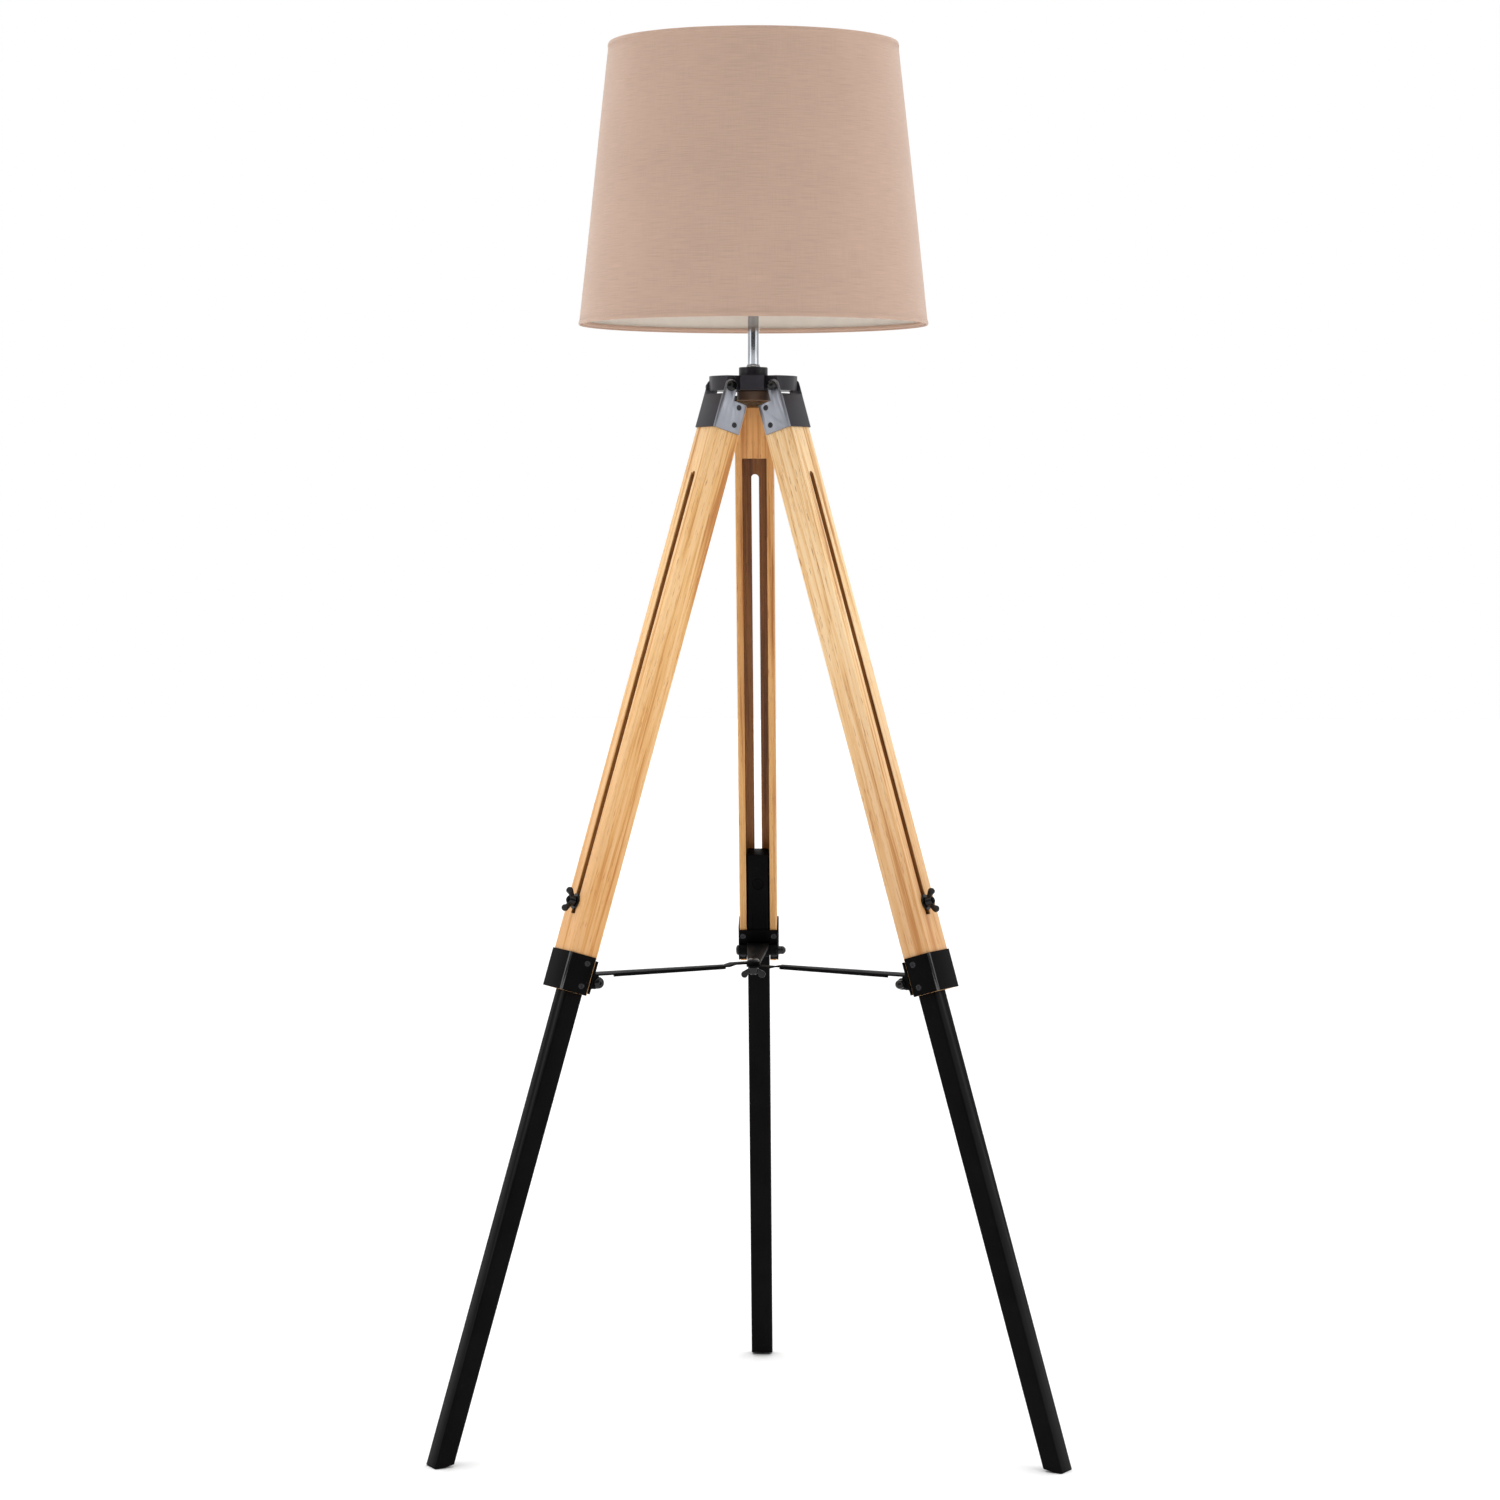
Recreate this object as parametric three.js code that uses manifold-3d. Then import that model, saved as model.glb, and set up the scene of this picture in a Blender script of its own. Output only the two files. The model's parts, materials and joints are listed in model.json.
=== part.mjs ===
// Tripod floor lamp: a drum shade on a chrome stem, a round hub, three telescoping legs that fold,
// and three flat struts that hold their spread.
//
// Units are millimetres, +Z is up. The lamp stands on Z = 0 with its back leg towards +Y, and the
// whole model is moved along Y so that the origin is at the middle of its footprint.
//
// Each leg is built in its own frame: X points outward and up, square to the leg, Y runs around the
// lamp, and Z runs up the leg. The frame's origin is the leg's hinge axis, so places along the leg
// are negative Z.

import * as THREE from "three";
import Module from "manifold-3d";
import { mergeVertices } from "three/addons/utils/BufferGeometryUtils.js";

const wasm = await Module();
wasm.setup();

// ---------------------------------------------------------------------------------------------
// Driving dimensions
// ---------------------------------------------------------------------------------------------

const SEAT_GAP = 0.3;        // between pieces that touch
const RUNNING_GAP = 0.3;     // between a shaft and its hole
const SCREW_GAP = 0.2;       // around a wood screw
const DEG = Math.PI / 180;

// Sides of a full circle, from the shade down to a screw hole.
const sides = { shade: 60, wire: 36, large: 28, medium: 18, small: 12, hole: 8 };

const hub = {
  radius: 45.3,
  hingeRise: 4.2,            // from the disc's underside up to the hinge axes
  height: 14.9,
  spokeHalfWidth: 12.0,      // the solid bars that stand out between two legs
  tongueGap: 0.5,            // between a bracket's ear and the tongue inside it
  bossRadius: 14.8,
  bossHeight: 9.0,
};

const hinge = {
  radius: 36.8,              // from the lamp's axis to a leg's hinge axis
  height: 1080.6,
  lean: 17.18 * DEG,         // how far a spread leg leans out
};

const bolt = {
  radius: 2.5,
  headRadius: 5.4,
  headHeight: 3.0,
};

const nut = {
  radius: 4.6,
  height: 8.6,
};

const hubNut = {
  radius: 17.0,
  height: 9.6,
  edge: 1.0,
};

const stem = {
  radius: 5.7,
  wall: 0.5,
  rodRadius: 4.9,
  collarRadius: 6.6,
  collarHeight: 3.0,
  length: 83.1,
  wireBore: 3.2,             // inside the threaded rod
  rodInHolder: 8.0,
};

const sheet = {
  thickness: 1.2,
  bendRadius: 2.2,           // outside of a bend
};

const bracket = {
  halfWidth: 21.6,
  outerFace: 7.0,            // outward of the hinge axis, and so the ear's radius
  innerEdge: -22.9,
  shoulder: -13.6,
  webTop: -10.0,
  bottom: -45.2,
};

const sleeve = {
  height: 39.3,
};

const wood = {
  bottom: -636.4,            // the wood's end, down the leg from the hinge
  innerFace: -24.8,
  endGap: 0.3,               // below the bracket's shoulder
  edge: 1.2,                 // eased long edges
};

const channel = {
  sideGap: 1.0,              // beside the sliding leg
  floorGap: 0.6,             // behind it
  top: -68.8,
};

const slot = {
  gap: 1.0,                  // each side of the clamp bolt
  top: -92.0,
  bottomMargin: 12.0,        // below the bolt when the leg is drawn right out
};

const lowerLeg = {
  halfWidth: 11.7,
  innerFace: -24.0,
  thickness: 20.0,
  aboveBolt: 34.0,           // from the clamp bolt to its top end
  edge: 1.4,
  footFlat: 9.0,             // how much of the end stands on the floor
  footLift: 2.5,             // how far the end's inner edge is clear of it
};

const clamp = {
  rise: 89.4,                // from the wood's end up to the clamp bolt, drawn right out
  boltRadius: 3.0,
  headRadius: 6.2,
  headDepth: 2.6,
  washerRadius: 8.2,
  washerThickness: 1.5,
};

const wing = {
  hubRadius: 5.4,
  hubTopRadius: 4.2,
  hubHeight: 7.0,
  span: 12.6,                // from the axis to a wing's tip
  rise: 11.5,                // a wing's top above the seat
  thickness: 2.4,
};

const hingePlate = {
  thickness: 1.5,
  rise: 36.4,                // from the wood's end up to the plate's top
  height: 34.0,
  sideGap: 0.4,              // in from the sleeve's outer faces
  strapHeight: 14.0,
  eyeGap: 1.2,               // from a flange to the strut's eye
};

const strutPivot = {
  inward: 8.2,               // from the wood's inner face to the strut bolt
  below: 20.4,               // below the hinge plate's top
  lugRadius: 6.0,
  boltRadius: 2.5,
  bushWall: 2.8,
};

const strut = {
  thickness: 1.5,
  outerWidth: 23.0,
  innerWidth: 14.4,
  flangeDrop: 1.8,
  flangeThickness: 1.4,
  plainTip: 34.0,            // flat length at the centre
  plainRoot: 20.0,           // flat length at the leg
  joggleStart: 24.0,
  joggleLength: 7.0,
  boltRadius: 3.0,
};

const screw = {
  headRadius: 3.0,
  headDepth: 1.0,
  shankRadius: 1.5,
  bracketPitch: 18.5,
  sleevePitch: 23.5,
  edgeMargin: 8.0,           // from a side plate's inner edge
  endMargin: 8.0,            // from the wood's end
};

const shade = {
  lift: 43.1,                // from the boss's top to the lower rim
  height: 286.3,
  bottomRadius: 179.8,
  topRadius: 148.7,
  coverThickness: 1.4,
  linerThickness: 0.9,
  wireRadius: 1.8,
  wireInset: 3.0,            // from a rim to the middle of its wire ring
};

const holder = {
  radius: 19.6,
  waistRadius: 14.2,
  waistHeight: 12.0,
  shellHeight: 46.0,
  rim: 4.0,                  // from the insert up to the top of the shell
  wall: 1.4,
  ringRadius: 27.0,
  ringThickness: 6.0,
  spiderHeight: 20.0,        // from the holder's bottom to the spider's ring
  spiderThickness: 2.0,
};

const bulb = {
  radius: 30.0,
  neckRadius: 14.0,
  capRadius: 13.0,
  capHeight: 24.0,
  glassHeight: 80.0,
  wall: 1.0,
  vent: 1.0,
};

const gland = {
  radius: 7.0,
  mouth: 3.4,
  height: 2.4,
  edge: 1.0,
};

// Places around the lamp, and how far each strut's end is stepped up at the centre.
const strutStep = strut.thickness + SEAT_GAP;
const legs = [
  { name: "back", azimuth: 90 * DEG, step: 0 },
  { name: "left", azimuth: 210 * DEG, step: strutStep },
  { name: "right", azimuth: 330 * DEG, step: -strutStep },
];

// ---------------------------------------------------------------------------------------------
// Materials
// ---------------------------------------------------------------------------------------------

const material = (color, roughness, metalness) =>
  new THREE.MeshStandardMaterial({ color, roughness, metalness });

const finish = {
  fabric: material(0xd8c6b8, 0.95, 0.0),
  liner: material(0xf4f1ea, 0.8, 0.0),
  chrome: material(0xd8dadd, 0.12, 1.0),
  blackMetal: material(0x17171a, 0.45, 0.6),
  hubMetal: material(0x2e2d33, 0.5, 0.6),
  greyMetal: material(0x7a7d86, 0.4, 0.8),
  steel: material(0x9a9ca1, 0.35, 0.9),
  wood: material(0xd9a866, 0.6, 0.0),
  blackPaint: material(0x141416, 0.5, 0.1),
  plastic: material(0x1b1b1c, 0.5, 0.0),
  glass: material(0xf5f3ee, 0.25, 0.0),
};

// ---------------------------------------------------------------------------------------------
// Solids
// ---------------------------------------------------------------------------------------------

function toSolid(geometry) {
  const bare = geometry.clone();
  bare.deleteAttribute("normal");
  bare.deleteAttribute("uv");
  const merged = mergeVertices(bare, 1e-4);
  const vertProperties = new Float32Array(merged.attributes.position.array);
  const triVerts = new Uint32Array(merged.index.array);
  return new wasm.Manifold(new wasm.Mesh({ numProp: 3, vertProperties, triVerts }));
}

function toGeometry(solid) {
  const mesh = solid.getMesh();
  const geometry = new THREE.BufferGeometry();
  geometry.setAttribute("position", new THREE.BufferAttribute(new Float32Array(mesh.vertProperties), 3));
  geometry.setIndex(new THREE.BufferAttribute(new Uint32Array(mesh.triVerts), 1));
  return geometry;
}

const join = (...solids) => solids.reduce((all, solid) => all.add(solid));
const cut = (solid, ...tools) => tools.reduce((left, tool) => left.subtract(tool), solid);

function box(x0, x1, y0, y1, z0, z1) {
  const geometry = new THREE.BoxGeometry(x1 - x0, y1 - y0, z1 - z0);
  geometry.translate((x0 + x1) / 2, (y0 + y1) / 2, (z0 + z1) / 2);
  return toSolid(geometry);
}

// A prism on an outline of [a, b] points, from lo to hi along one axis. The outline's plane is
// XY for a prism along "z", XZ along "y" and YZ along "x".
function prism(outline, lo, hi, axis = "z") {
  const shape = outline.isShape ? outline : new THREE.Shape(outline.map(([a, b]) => new THREE.Vector2(a, b)));
  const depth = hi - lo;
  const geometry = new THREE.ExtrudeGeometry(shape, { depth, bevelEnabled: false, curveSegments: 10 });
  geometry.translate(0, 0, lo);
  if (axis === "y") {
    geometry.translate(0, 0, -lo - hi);
    geometry.rotateX(Math.PI / 2);
  }
  if (axis === "x") {
    geometry.applyMatrix4(new THREE.Matrix4().makeBasis(
      new THREE.Vector3(0, 1, 0), new THREE.Vector3(0, 0, 1), new THREE.Vector3(1, 0, 0)));
  }
  return toSolid(geometry);
}

// A body of revolution about Z from [radius, z] points that close on themselves or on the axis.
function turned(profile, segments = sides.medium) {
  const points = profile.map(([r, z]) => new THREE.Vector2(r, z));
  return toSolid(new THREE.LatheGeometry(points, segments).rotateX(Math.PI / 2));
}

function rod(radius, z0, z1, segments = sides.small) {
  return turned([[0, z0], [radius, z0], [radius, z1], [0, z1]], segments);
}

function tube(inner, outer, z0, z1, segments = sides.medium) {
  return turned([[inner, z0], [outer, z0], [outer, z1], [inner, z1], [inner, z0]], segments);
}

// Points of a quarter round from one direction to another, about a centre.
function arc(centre, radius, from, to, steps) {
  const points = [];
  for (let i = 0; i <= steps; i += 1) {
    const angle = from + ((to - from) * i) / steps;
    points.push([centre[0] + radius * Math.cos(angle), centre[1] + radius * Math.sin(angle)]);
  }
  return points;
}

// A solid that was built along Z, turned to lie along another axis and moved to a place.
const alongY = (solid, x, z) => solid.rotate([90, 0, 0]).translate([x, 0, z]);
const alongX = (solid, y, z) => solid.rotate([0, 90, 0]).translate([0, y, z]);

function node(name, solid, finishOf) {
  const mesh = new THREE.Mesh(toGeometry(solid), finishOf);
  mesh.name = name;
  return mesh;
}

// ---------------------------------------------------------------------------------------------
// Hub and stem
// ---------------------------------------------------------------------------------------------

const hubBottom = hinge.height - hub.hingeRise;
const earInside = bracket.halfWidth - sheet.thickness - hub.tongueGap;
const hubTop = hubBottom + hub.height;

// The hub's plan is a circle with six notches: a tongue under each leg and a spoke between legs.
function hubOutline() {
  const tongueAngle = Math.asin(earInside / hub.radius);
  const spokeAngle = Math.asin(hub.spokeHalfWidth / hub.radius);
  const notch = (hub.spokeHalfWidth + earInside * Math.sin(30 * DEG)) / Math.cos(30 * DEG);
  const points = [];
  legs.map((leg) => leg.azimuth).sort((a, b) => a - b).forEach((azimuth) => {
    const spoke = azimuth + 60 * DEG;
    const corner = Math.hypot(notch, earInside);
    const turn = Math.atan2(earInside, notch);
    points.push(...arc([0, 0], hub.radius, azimuth - tongueAngle, azimuth + tongueAngle, 6));
    points.push([corner * Math.cos(azimuth + turn), corner * Math.sin(azimuth + turn)]);
    points.push(...arc([0, 0], hub.radius, spoke - spokeAngle, spoke + spokeAngle, 4));
    const next = azimuth + 120 * DEG;
    points.push([corner * Math.cos(next - turn), corner * Math.sin(next - turn)]);
  });
  return points;
}

function hubDisc() {
  const hole = rod(stem.rodRadius + RUNNING_GAP, hubBottom - 1, hubTop + 1, sides.medium);
  const pins = legs.map((leg) => {
    const reach = earInside + 5;
    return alongY(rod(bolt.radius + RUNNING_GAP, -reach, reach, sides.small), hinge.radius, hinge.height)
      .rotate([0, 0, leg.azimuth / DEG]);
  });
  return cut(prism(hubOutline(), hubBottom, hubTop), hole, ...pins);
}

function hubBoss() {
  const bottom = hubTop + SEAT_GAP;
  const top = bottom + hub.bossHeight;
  const inner = stem.rodRadius + RUNNING_GAP;
  const edge = 0.8;
  return turned([
    [inner, bottom], [hub.bossRadius, bottom], [hub.bossRadius, top - edge],
    [hub.bossRadius - edge, top], [inner, top], [inner, bottom],
  ], sides.large);
}

const bossTop = hubTop + SEAT_GAP + hub.bossHeight;
const stemTop = bossTop + SEAT_GAP + stem.length;
const holderBottom = stemTop + 2 * SEAT_GAP;
const hubNutBottom = hubBottom - SEAT_GAP - hubNut.height;
const rodBottom = hubNutBottom + gland.height + SEAT_GAP;

function stemTube() {
  const bore = stem.radius - stem.wall;
  return tube(bore, stem.radius, bossTop + SEAT_GAP, stemTop);
}

// A flared ring around the foot of the stem.
function stemCollar() {
  const inner = stem.radius + SEAT_GAP;
  const bottom = bossTop + SEAT_GAP;
  const flare = stem.collarRadius + 0.6;
  return turned([
    [inner, bottom], [flare, bottom], [flare, bottom + 1], [stem.collarRadius, bottom + stem.collarHeight],
    [inner, bottom + stem.collarHeight], [inner, bottom],
  ]);
}

function stemRod() {
  return tube(stem.wireBore, stem.rodRadius, rodBottom, holderBottom + stem.rodInHolder);
}

// A round nut under the hub, hollow below, where the cord's gland sits flush.
function hubNutSolid() {
  const top = hubBottom - SEAT_GAP;
  const bottom = hubNutBottom;
  const bore = stem.rodRadius + RUNNING_GAP;
  const mouth = gland.radius + SEAT_GAP;
  return turned([
    [bore, rodBottom], [mouth, rodBottom], [mouth, bottom], [hubNut.radius - hubNut.edge, bottom],
    [hubNut.radius, bottom + hubNut.edge], [hubNut.radius, top], [bore, top], [bore, rodBottom],
  ]);
}

function cordGland() {
  const top = rodBottom - SEAT_GAP;
  const mouth = gland.mouth;
  return turned([
    [mouth, top - gland.height], [gland.radius - gland.edge, top - gland.height],
    [gland.radius, top - gland.height + gland.edge],
    [gland.radius, top], [mouth, top], [mouth, top - gland.height],
  ]);
}

// ---------------------------------------------------------------------------------------------
// Shade, lampholder and bulb
// ---------------------------------------------------------------------------------------------

const shadeBottom = bossTop + shade.lift;
const shadeTop = shadeBottom + shade.height;
const shadeSlope = (shade.topRadius - shade.bottomRadius) / (shadeTop - shadeBottom);
const shadeRadius = (z) => shade.bottomRadius + shadeSlope * (z - shadeBottom);

function shadeShell(outset, thickness, inset) {
  const z0 = shadeBottom + inset;
  const z1 = shadeTop - inset;
  const profile = [
    [shadeRadius(z0) - outset - thickness, z0], [shadeRadius(z0) - outset, z0],
    [shadeRadius(z1) - outset, z1], [shadeRadius(z1) - outset - thickness, z1],
    [shadeRadius(z0) - outset - thickness, z0],
  ];
  return turned(profile, sides.shade);
}

const linerOutset = shade.coverThickness + SEAT_GAP;
const wireOutset = linerOutset + shade.linerThickness + SEAT_GAP + shade.wireRadius;

// A round wire, bent into a ring inside the liner.
function wireRing(z) {
  const centre = [shadeRadius(z) - wireOutset, z];
  return turned(arc(centre, shade.wireRadius, 0, 2 * Math.PI, 6), sides.wire);
}

// A straight piece of wire in the XZ plane.
function wireBetween([x0, z0], [x1, z1]) {
  const turn = Math.atan2(x1 - x0, z1 - z0) / DEG;
  return rod(shade.wireRadius, 0, Math.hypot(x1 - x0, z1 - z0), 6).rotate([0, turn, 0]).translate([x0, 0, z0]);
}

// Three arms from the lower wire ring rise to the fitting ring that the lampholder clamps.
function shadeSpider() {
  const low = shadeBottom + shade.wireInset;
  const high = holderBottom + holder.spiderHeight;
  const inner = holder.radius + 0.6;
  const outer = holder.ringRadius + 6;
  const half = holder.spiderThickness / 2;
  const ring = tube(inner, outer, high - half, high + half, sides.large);
  const reach = shadeRadius(low) - wireOutset;
  const knee = reach - 14;
  const arm = join(
    wireBetween([reach, low], [knee, low]),
    wireBetween([knee + 0.5, low], [outer - 2, high]),
  );
  const arms = [0, 120, 240].map((turn) => arm.rotate([0, 0, turn + 90]));
  return join(wireRing(low), ring, ...arms);
}

// The holder's shell: a waist on the threaded rod, opening to a socket.
function holderShell() {
  const { radius, waistRadius, shellHeight, wall } = holder;
  const bottom = holderBottom;
  const step = bottom + holder.waistHeight;
  return turned([
    [stem.rodRadius + RUNNING_GAP, bottom], [waistRadius - 3, bottom], [waistRadius, bottom + 3],
    [waistRadius, step - 3], [radius - 3, step], [radius - 3, bottom + shellHeight],
    [radius - 3 - wall, bottom + shellHeight], [radius - 3 - wall, step + wall],
    [stem.rodRadius + RUNNING_GAP, step + wall], [stem.rodRadius + RUNNING_GAP, bottom],
  ]);
}

const holderSeat = holderBottom + holder.waistHeight + holder.wall + SEAT_GAP;

// The ceramic block that the bulb's cap screws into.
function holderInsert() {
  const seat = holderSeat;
  const outer = holder.radius - 3 - holder.wall - SEAT_GAP;
  const top = holderBottom + holder.shellHeight - holder.rim;
  const inner = bulb.capRadius + 0.6;
  return turned([
    [0, seat], [outer, seat], [outer, top], [inner, top], [inner, seat + 6], [0, seat + 6],
  ]);
}

// A threaded ring on one side of the spider's ring: 1 above it, -1 below it.
function holderRing(side) {
  const spiderZ = holderBottom + holder.spiderHeight;
  const inner = holder.radius - 3 + SEAT_GAP;
  const near = spiderZ + side * (holder.spiderThickness / 2 + SEAT_GAP);
  const far = near + side * holder.ringThickness;
  return tube(inner, holder.ringRadius, Math.min(near, far), Math.max(near, far));
}

// A pear-shaped glass on a screw cap, hollow, with a small exhaust hole at the foot.
function bulbSolid() {
  const { radius, neckRadius, capRadius, capHeight, glassHeight, wall, vent } = bulb;
  const foot = holderSeat + 6 + SEAT_GAP;
  const capTop = foot + capHeight;
  const centreZ = capTop + glassHeight - radius;
  const low = -35 * DEG;
  const outer = arc([0, centreZ], radius, low, 90 * DEG, 6);
  const inner = arc([0, centreZ], radius - wall, 90 * DEG, low, 6);
  outer[outer.length - 1][0] = 0;
  inner[0][0] = 0;
  return turned([
    [vent, foot], [5, foot], [capRadius, foot + 5], [capRadius, capTop], [neckRadius, capTop + 1],
    [neckRadius + 1.5, capTop + 10], ...outer, ...inner, [neckRadius + 1.5 - wall, capTop + 10],
    [capRadius - wall, capTop], [capRadius - wall, foot + 5 + wall], [5, foot + wall], [vent, foot + wall],
    [vent, foot],
  ]);
}

// ---------------------------------------------------------------------------------------------
// Leg: brackets, wood and fasteners, all in the leg's frame
// ---------------------------------------------------------------------------------------------

// A bent sheet's section in XY: a web on the outer face and two sides, with rounded bends.
function channelSection(inner) {
  const { thickness, bendRadius } = sheet;
  const w = bracket.halfWidth;
  const x = bracket.outerFace;
  const r = bendRadius;
  const q = bendRadius - thickness;
  return [
    [inner, -w], ...arc([x - r, -w + r], r, -90 * DEG, 0, 3), ...arc([x - r, w - r], r, 0, 90 * DEG, 3),
    [inner, w], [inner, w - thickness],
    ...arc([x - r, w - r], q, 90 * DEG, 0, 2), ...arc([x - r, -w + r], q, 0, -90 * DEG, 2),
    [inner, -w + thickness],
  ];
}

const plateInside = bracket.halfWidth - sheet.thickness;
const clampPlace = wood.bottom + clamp.rise;
const plateTop = wood.bottom + hingePlate.rise;
const lowerLegTop = clampPlace + lowerLeg.aboveBolt;
const screwX = bracket.innerEdge + screw.edgeMargin;
const sleeveTop = wood.bottom + sleeve.height;
const bracketScrews = [0, 1].map((i) => bracket.bottom + screw.endMargin + i * screw.bracketPitch);
const sleeveScrews = [0, 1].map((i) => wood.bottom + screw.endMargin + i * screw.sleevePitch);
const plateScrewsZ = [plateTop - 7, plateTop - hingePlate.height + 5];

// Cone-headed screw holes through both side plates.
function sideHoles(z) {
  const reach = bracket.halfWidth;
  const { headRadius, headDepth, shankRadius } = screw;
  const profile = [
    [0, 0], [shankRadius + SCREW_GAP, 0], [shankRadius + SCREW_GAP, reach - headDepth - SCREW_GAP],
    [headRadius + SCREW_GAP, reach], [headRadius + SCREW_GAP, reach + 1], [0, reach + 1],
  ];
  const hole = turned(profile, sides.hole);
  return join(hole.rotate([-90, 0, 0]), hole.rotate([90, 0, 0])).translate([screwX, 0, z]);
}

function topBracket() {
  const { outerFace, innerEdge, shoulder, webTop, bottom, halfWidth } = bracket;
  const profile = [
    [innerEdge, bottom], [outerFace, bottom], ...arc([0, 0], outerFace, 0, 180 * DEG, 8),
    [-outerFace, shoulder], [innerEdge, shoulder],
  ];
  const bent = prism(channelSection(innerEdge), bottom, outerFace);
  const shape = prism(profile, -halfWidth - 1, halfWidth + 1, "y");
  const window = box(-outerFace - 1, outerFace + 1, -plateInside, plateInside, webTop, outerFace + 1);
  const pin = alongY(rod(bolt.radius + RUNNING_GAP, -30, 30), 0, 0);
  return cut(bent.intersect(shape), window, pin, ...bracketScrews.map(sideHoles));
}

function lowerSleeve() {
  const bent = prism(channelSection(bracket.innerEdge), wood.bottom, sleeveTop);
  return cut(bent, ...sleeveScrews.map(sideHoles));
}

const woodHalfWidth = plateInside - SEAT_GAP;
const woodOuter = bracket.outerFace - sheet.thickness - SEAT_GAP;
const woodTop = bracket.shoulder - wood.endGap;
const lowerOuter = lowerLeg.innerFace + lowerLeg.thickness;
const slotHalfWidth = clamp.boltRadius + slot.gap;
const plateOuterHalf = bracket.halfWidth - hingePlate.sideGap;
const eyeHalf = strut.outerWidth / 2;
const flangeInside = eyeHalf + hingePlate.eyeGap;
const flangeMiddle = (flangeInside + plateOuterHalf) / 2;

// A rectangle in XY with its corners eased.
function easedRectangle(x0, x1, halfWidth, ease) {
  return [
    [x0 + ease, -halfWidth], [x1 - ease, -halfWidth], [x1, -halfWidth + ease], [x1, halfWidth - ease],
    [x1 - ease, halfWidth], [x0 + ease, halfWidth], [x0, halfWidth - ease], [x0, -halfWidth + ease],
  ];
}

function upperLeg() {
  const body = prism(easedRectangle(wood.innerFace, woodOuter, woodHalfWidth, wood.edge), wood.bottom, woodTop);
  const floor = lowerOuter + channel.floorGap;
  const side = lowerLeg.halfWidth + channel.sideGap;
  const groove = box(wood.innerFace - 1, floor, -side, side, wood.bottom - 1, channel.top);
  const slotFoot = clampPlace - slot.bottomMargin;
  const centreTop = slot.top - slotHalfWidth;
  const outline = [
    [-slotHalfWidth, slotFoot], [slotHalfWidth, slotFoot],
    ...arc([0, centreTop], slotHalfWidth, 0, 180 * DEG, 8),
  ];
  const through = prism(outline, floor - 1, woodOuter + 1, "x");
  return cut(body, groove, through);
}

// A domed bolt across the leg: head at +Y, thread at -Y.
function crossBolt(radius, x, z, gripHalf) {
  const head = bolt.headHeight;
  const seat = gripHalf + SEAT_GAP;
  const dome = arc([0, 0], 1, 0, 90 * DEG, 3).map(([a, b]) => [a * bolt.headRadius, seat + 0.8 + b * (head - 0.8)]);
  dome[dome.length - 1][0] = 0;
  const body = turned([
    [0, -seat - nut.height * 0.55], [radius, -seat - nut.height * 0.55], [radius, seat],
    [bolt.headRadius, seat], ...dome,
  ], sides.small);
  const socket = rod(1.6, seat + head - 1.4, seat + head + 1, 6);
  return cut(body, socket).rotate([-90, 0, 0]).translate([x, 0, z]);
}

// A domed cap nut on a cross bolt's thread.
function capNut(radius, x, z, gripHalf) {
  const seat = gripHalf + SEAT_GAP;
  const bore = radius + RUNNING_GAP;
  const depth = nut.height * 0.55 + RUNNING_GAP;
  const start = nut.height - nut.radius;
  const dome = arc([0, start], nut.radius, 0, 90 * DEG, 3);
  dome[dome.length - 1][0] = 0;
  const profile = [
    [bore, 0], [nut.radius, 0], ...dome, [0, depth], [bore, depth], [bore, 0],
  ];
  return turned(profile, sides.small).translate([0, 0, seat]).rotate([90, 0, 0]).translate([x, 0, z]);
}

// ---------------------------------------------------------------------------------------------
// Strut pivot and strut
// ---------------------------------------------------------------------------------------------

const pivotX = wood.innerFace - strutPivot.inward;
const pivotZ = plateTop - strutPivot.below;
const bushRadius = strutPivot.boltRadius + RUNNING_GAP + strutPivot.bushWall;
const eyeInner = bushRadius + RUNNING_GAP;
const eyeOuter = eyeInner + strut.thickness;

// A plate on the leg's inner face: two flanges, a strap across the channel and two lugs.
function hingePlateSolid() {
  const outer = wood.innerFace - SEAT_GAP;
  const inner = outer - hingePlate.thickness;
  const bottom = plateTop - hingePlate.height;
  const flange = (side) => box(inner, outer, Math.min(side * flangeInside, side * plateOuterHalf),
    Math.max(side * flangeInside, side * plateOuterHalf), bottom, plateTop);
  const strap = box(inner, outer, -flangeInside - 1, flangeInside + 1,
    plateTop - hingePlate.strapHeight, plateTop);
  const r = strutPivot.lugRadius;
  const lugOutline = [
    [outer, pivotZ + 10], [outer, pivotZ - 10], ...arc([pivotX, pivotZ], r, -60 * DEG, -300 * DEG, 7),
  ];
  const lug = (side) => prism(lugOutline, Math.min(side * plateOuterHalf, side * (plateOuterHalf - sheet.thickness)),
    Math.max(side * plateOuterHalf, side * (plateOuterHalf - sheet.thickness)), "y");
  const pin = alongY(rod(strutPivot.boltRadius + RUNNING_GAP, -30, 30), pivotX, pivotZ);
  const head = turned([
    [0, -1], [screw.shankRadius + SCREW_GAP, -1],
    [screw.shankRadius + SCREW_GAP, hingePlate.thickness - screw.headDepth - SCREW_GAP],
    [screw.headRadius + SCREW_GAP, hingePlate.thickness], [screw.headRadius + SCREW_GAP, hingePlate.thickness + 1],
    [0, hingePlate.thickness + 1],
  ], sides.hole).rotate([0, -90, 0]);
  const holes = plateScrewsZ.flatMap((z) => [-1, 1].map((side) => head.translate([outer, side * flangeMiddle, z])));
  return cut(join(flange(-1), flange(1), strap, lug(-1), lug(1)), pin, ...holes);
}

function strutBush() {
  const half = plateOuterHalf - sheet.thickness - SEAT_GAP;
  return alongY(tube(strutPivot.boltRadius + RUNNING_GAP, bushRadius, -half, half, sides.small), pivotX, pivotZ);
}

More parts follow.
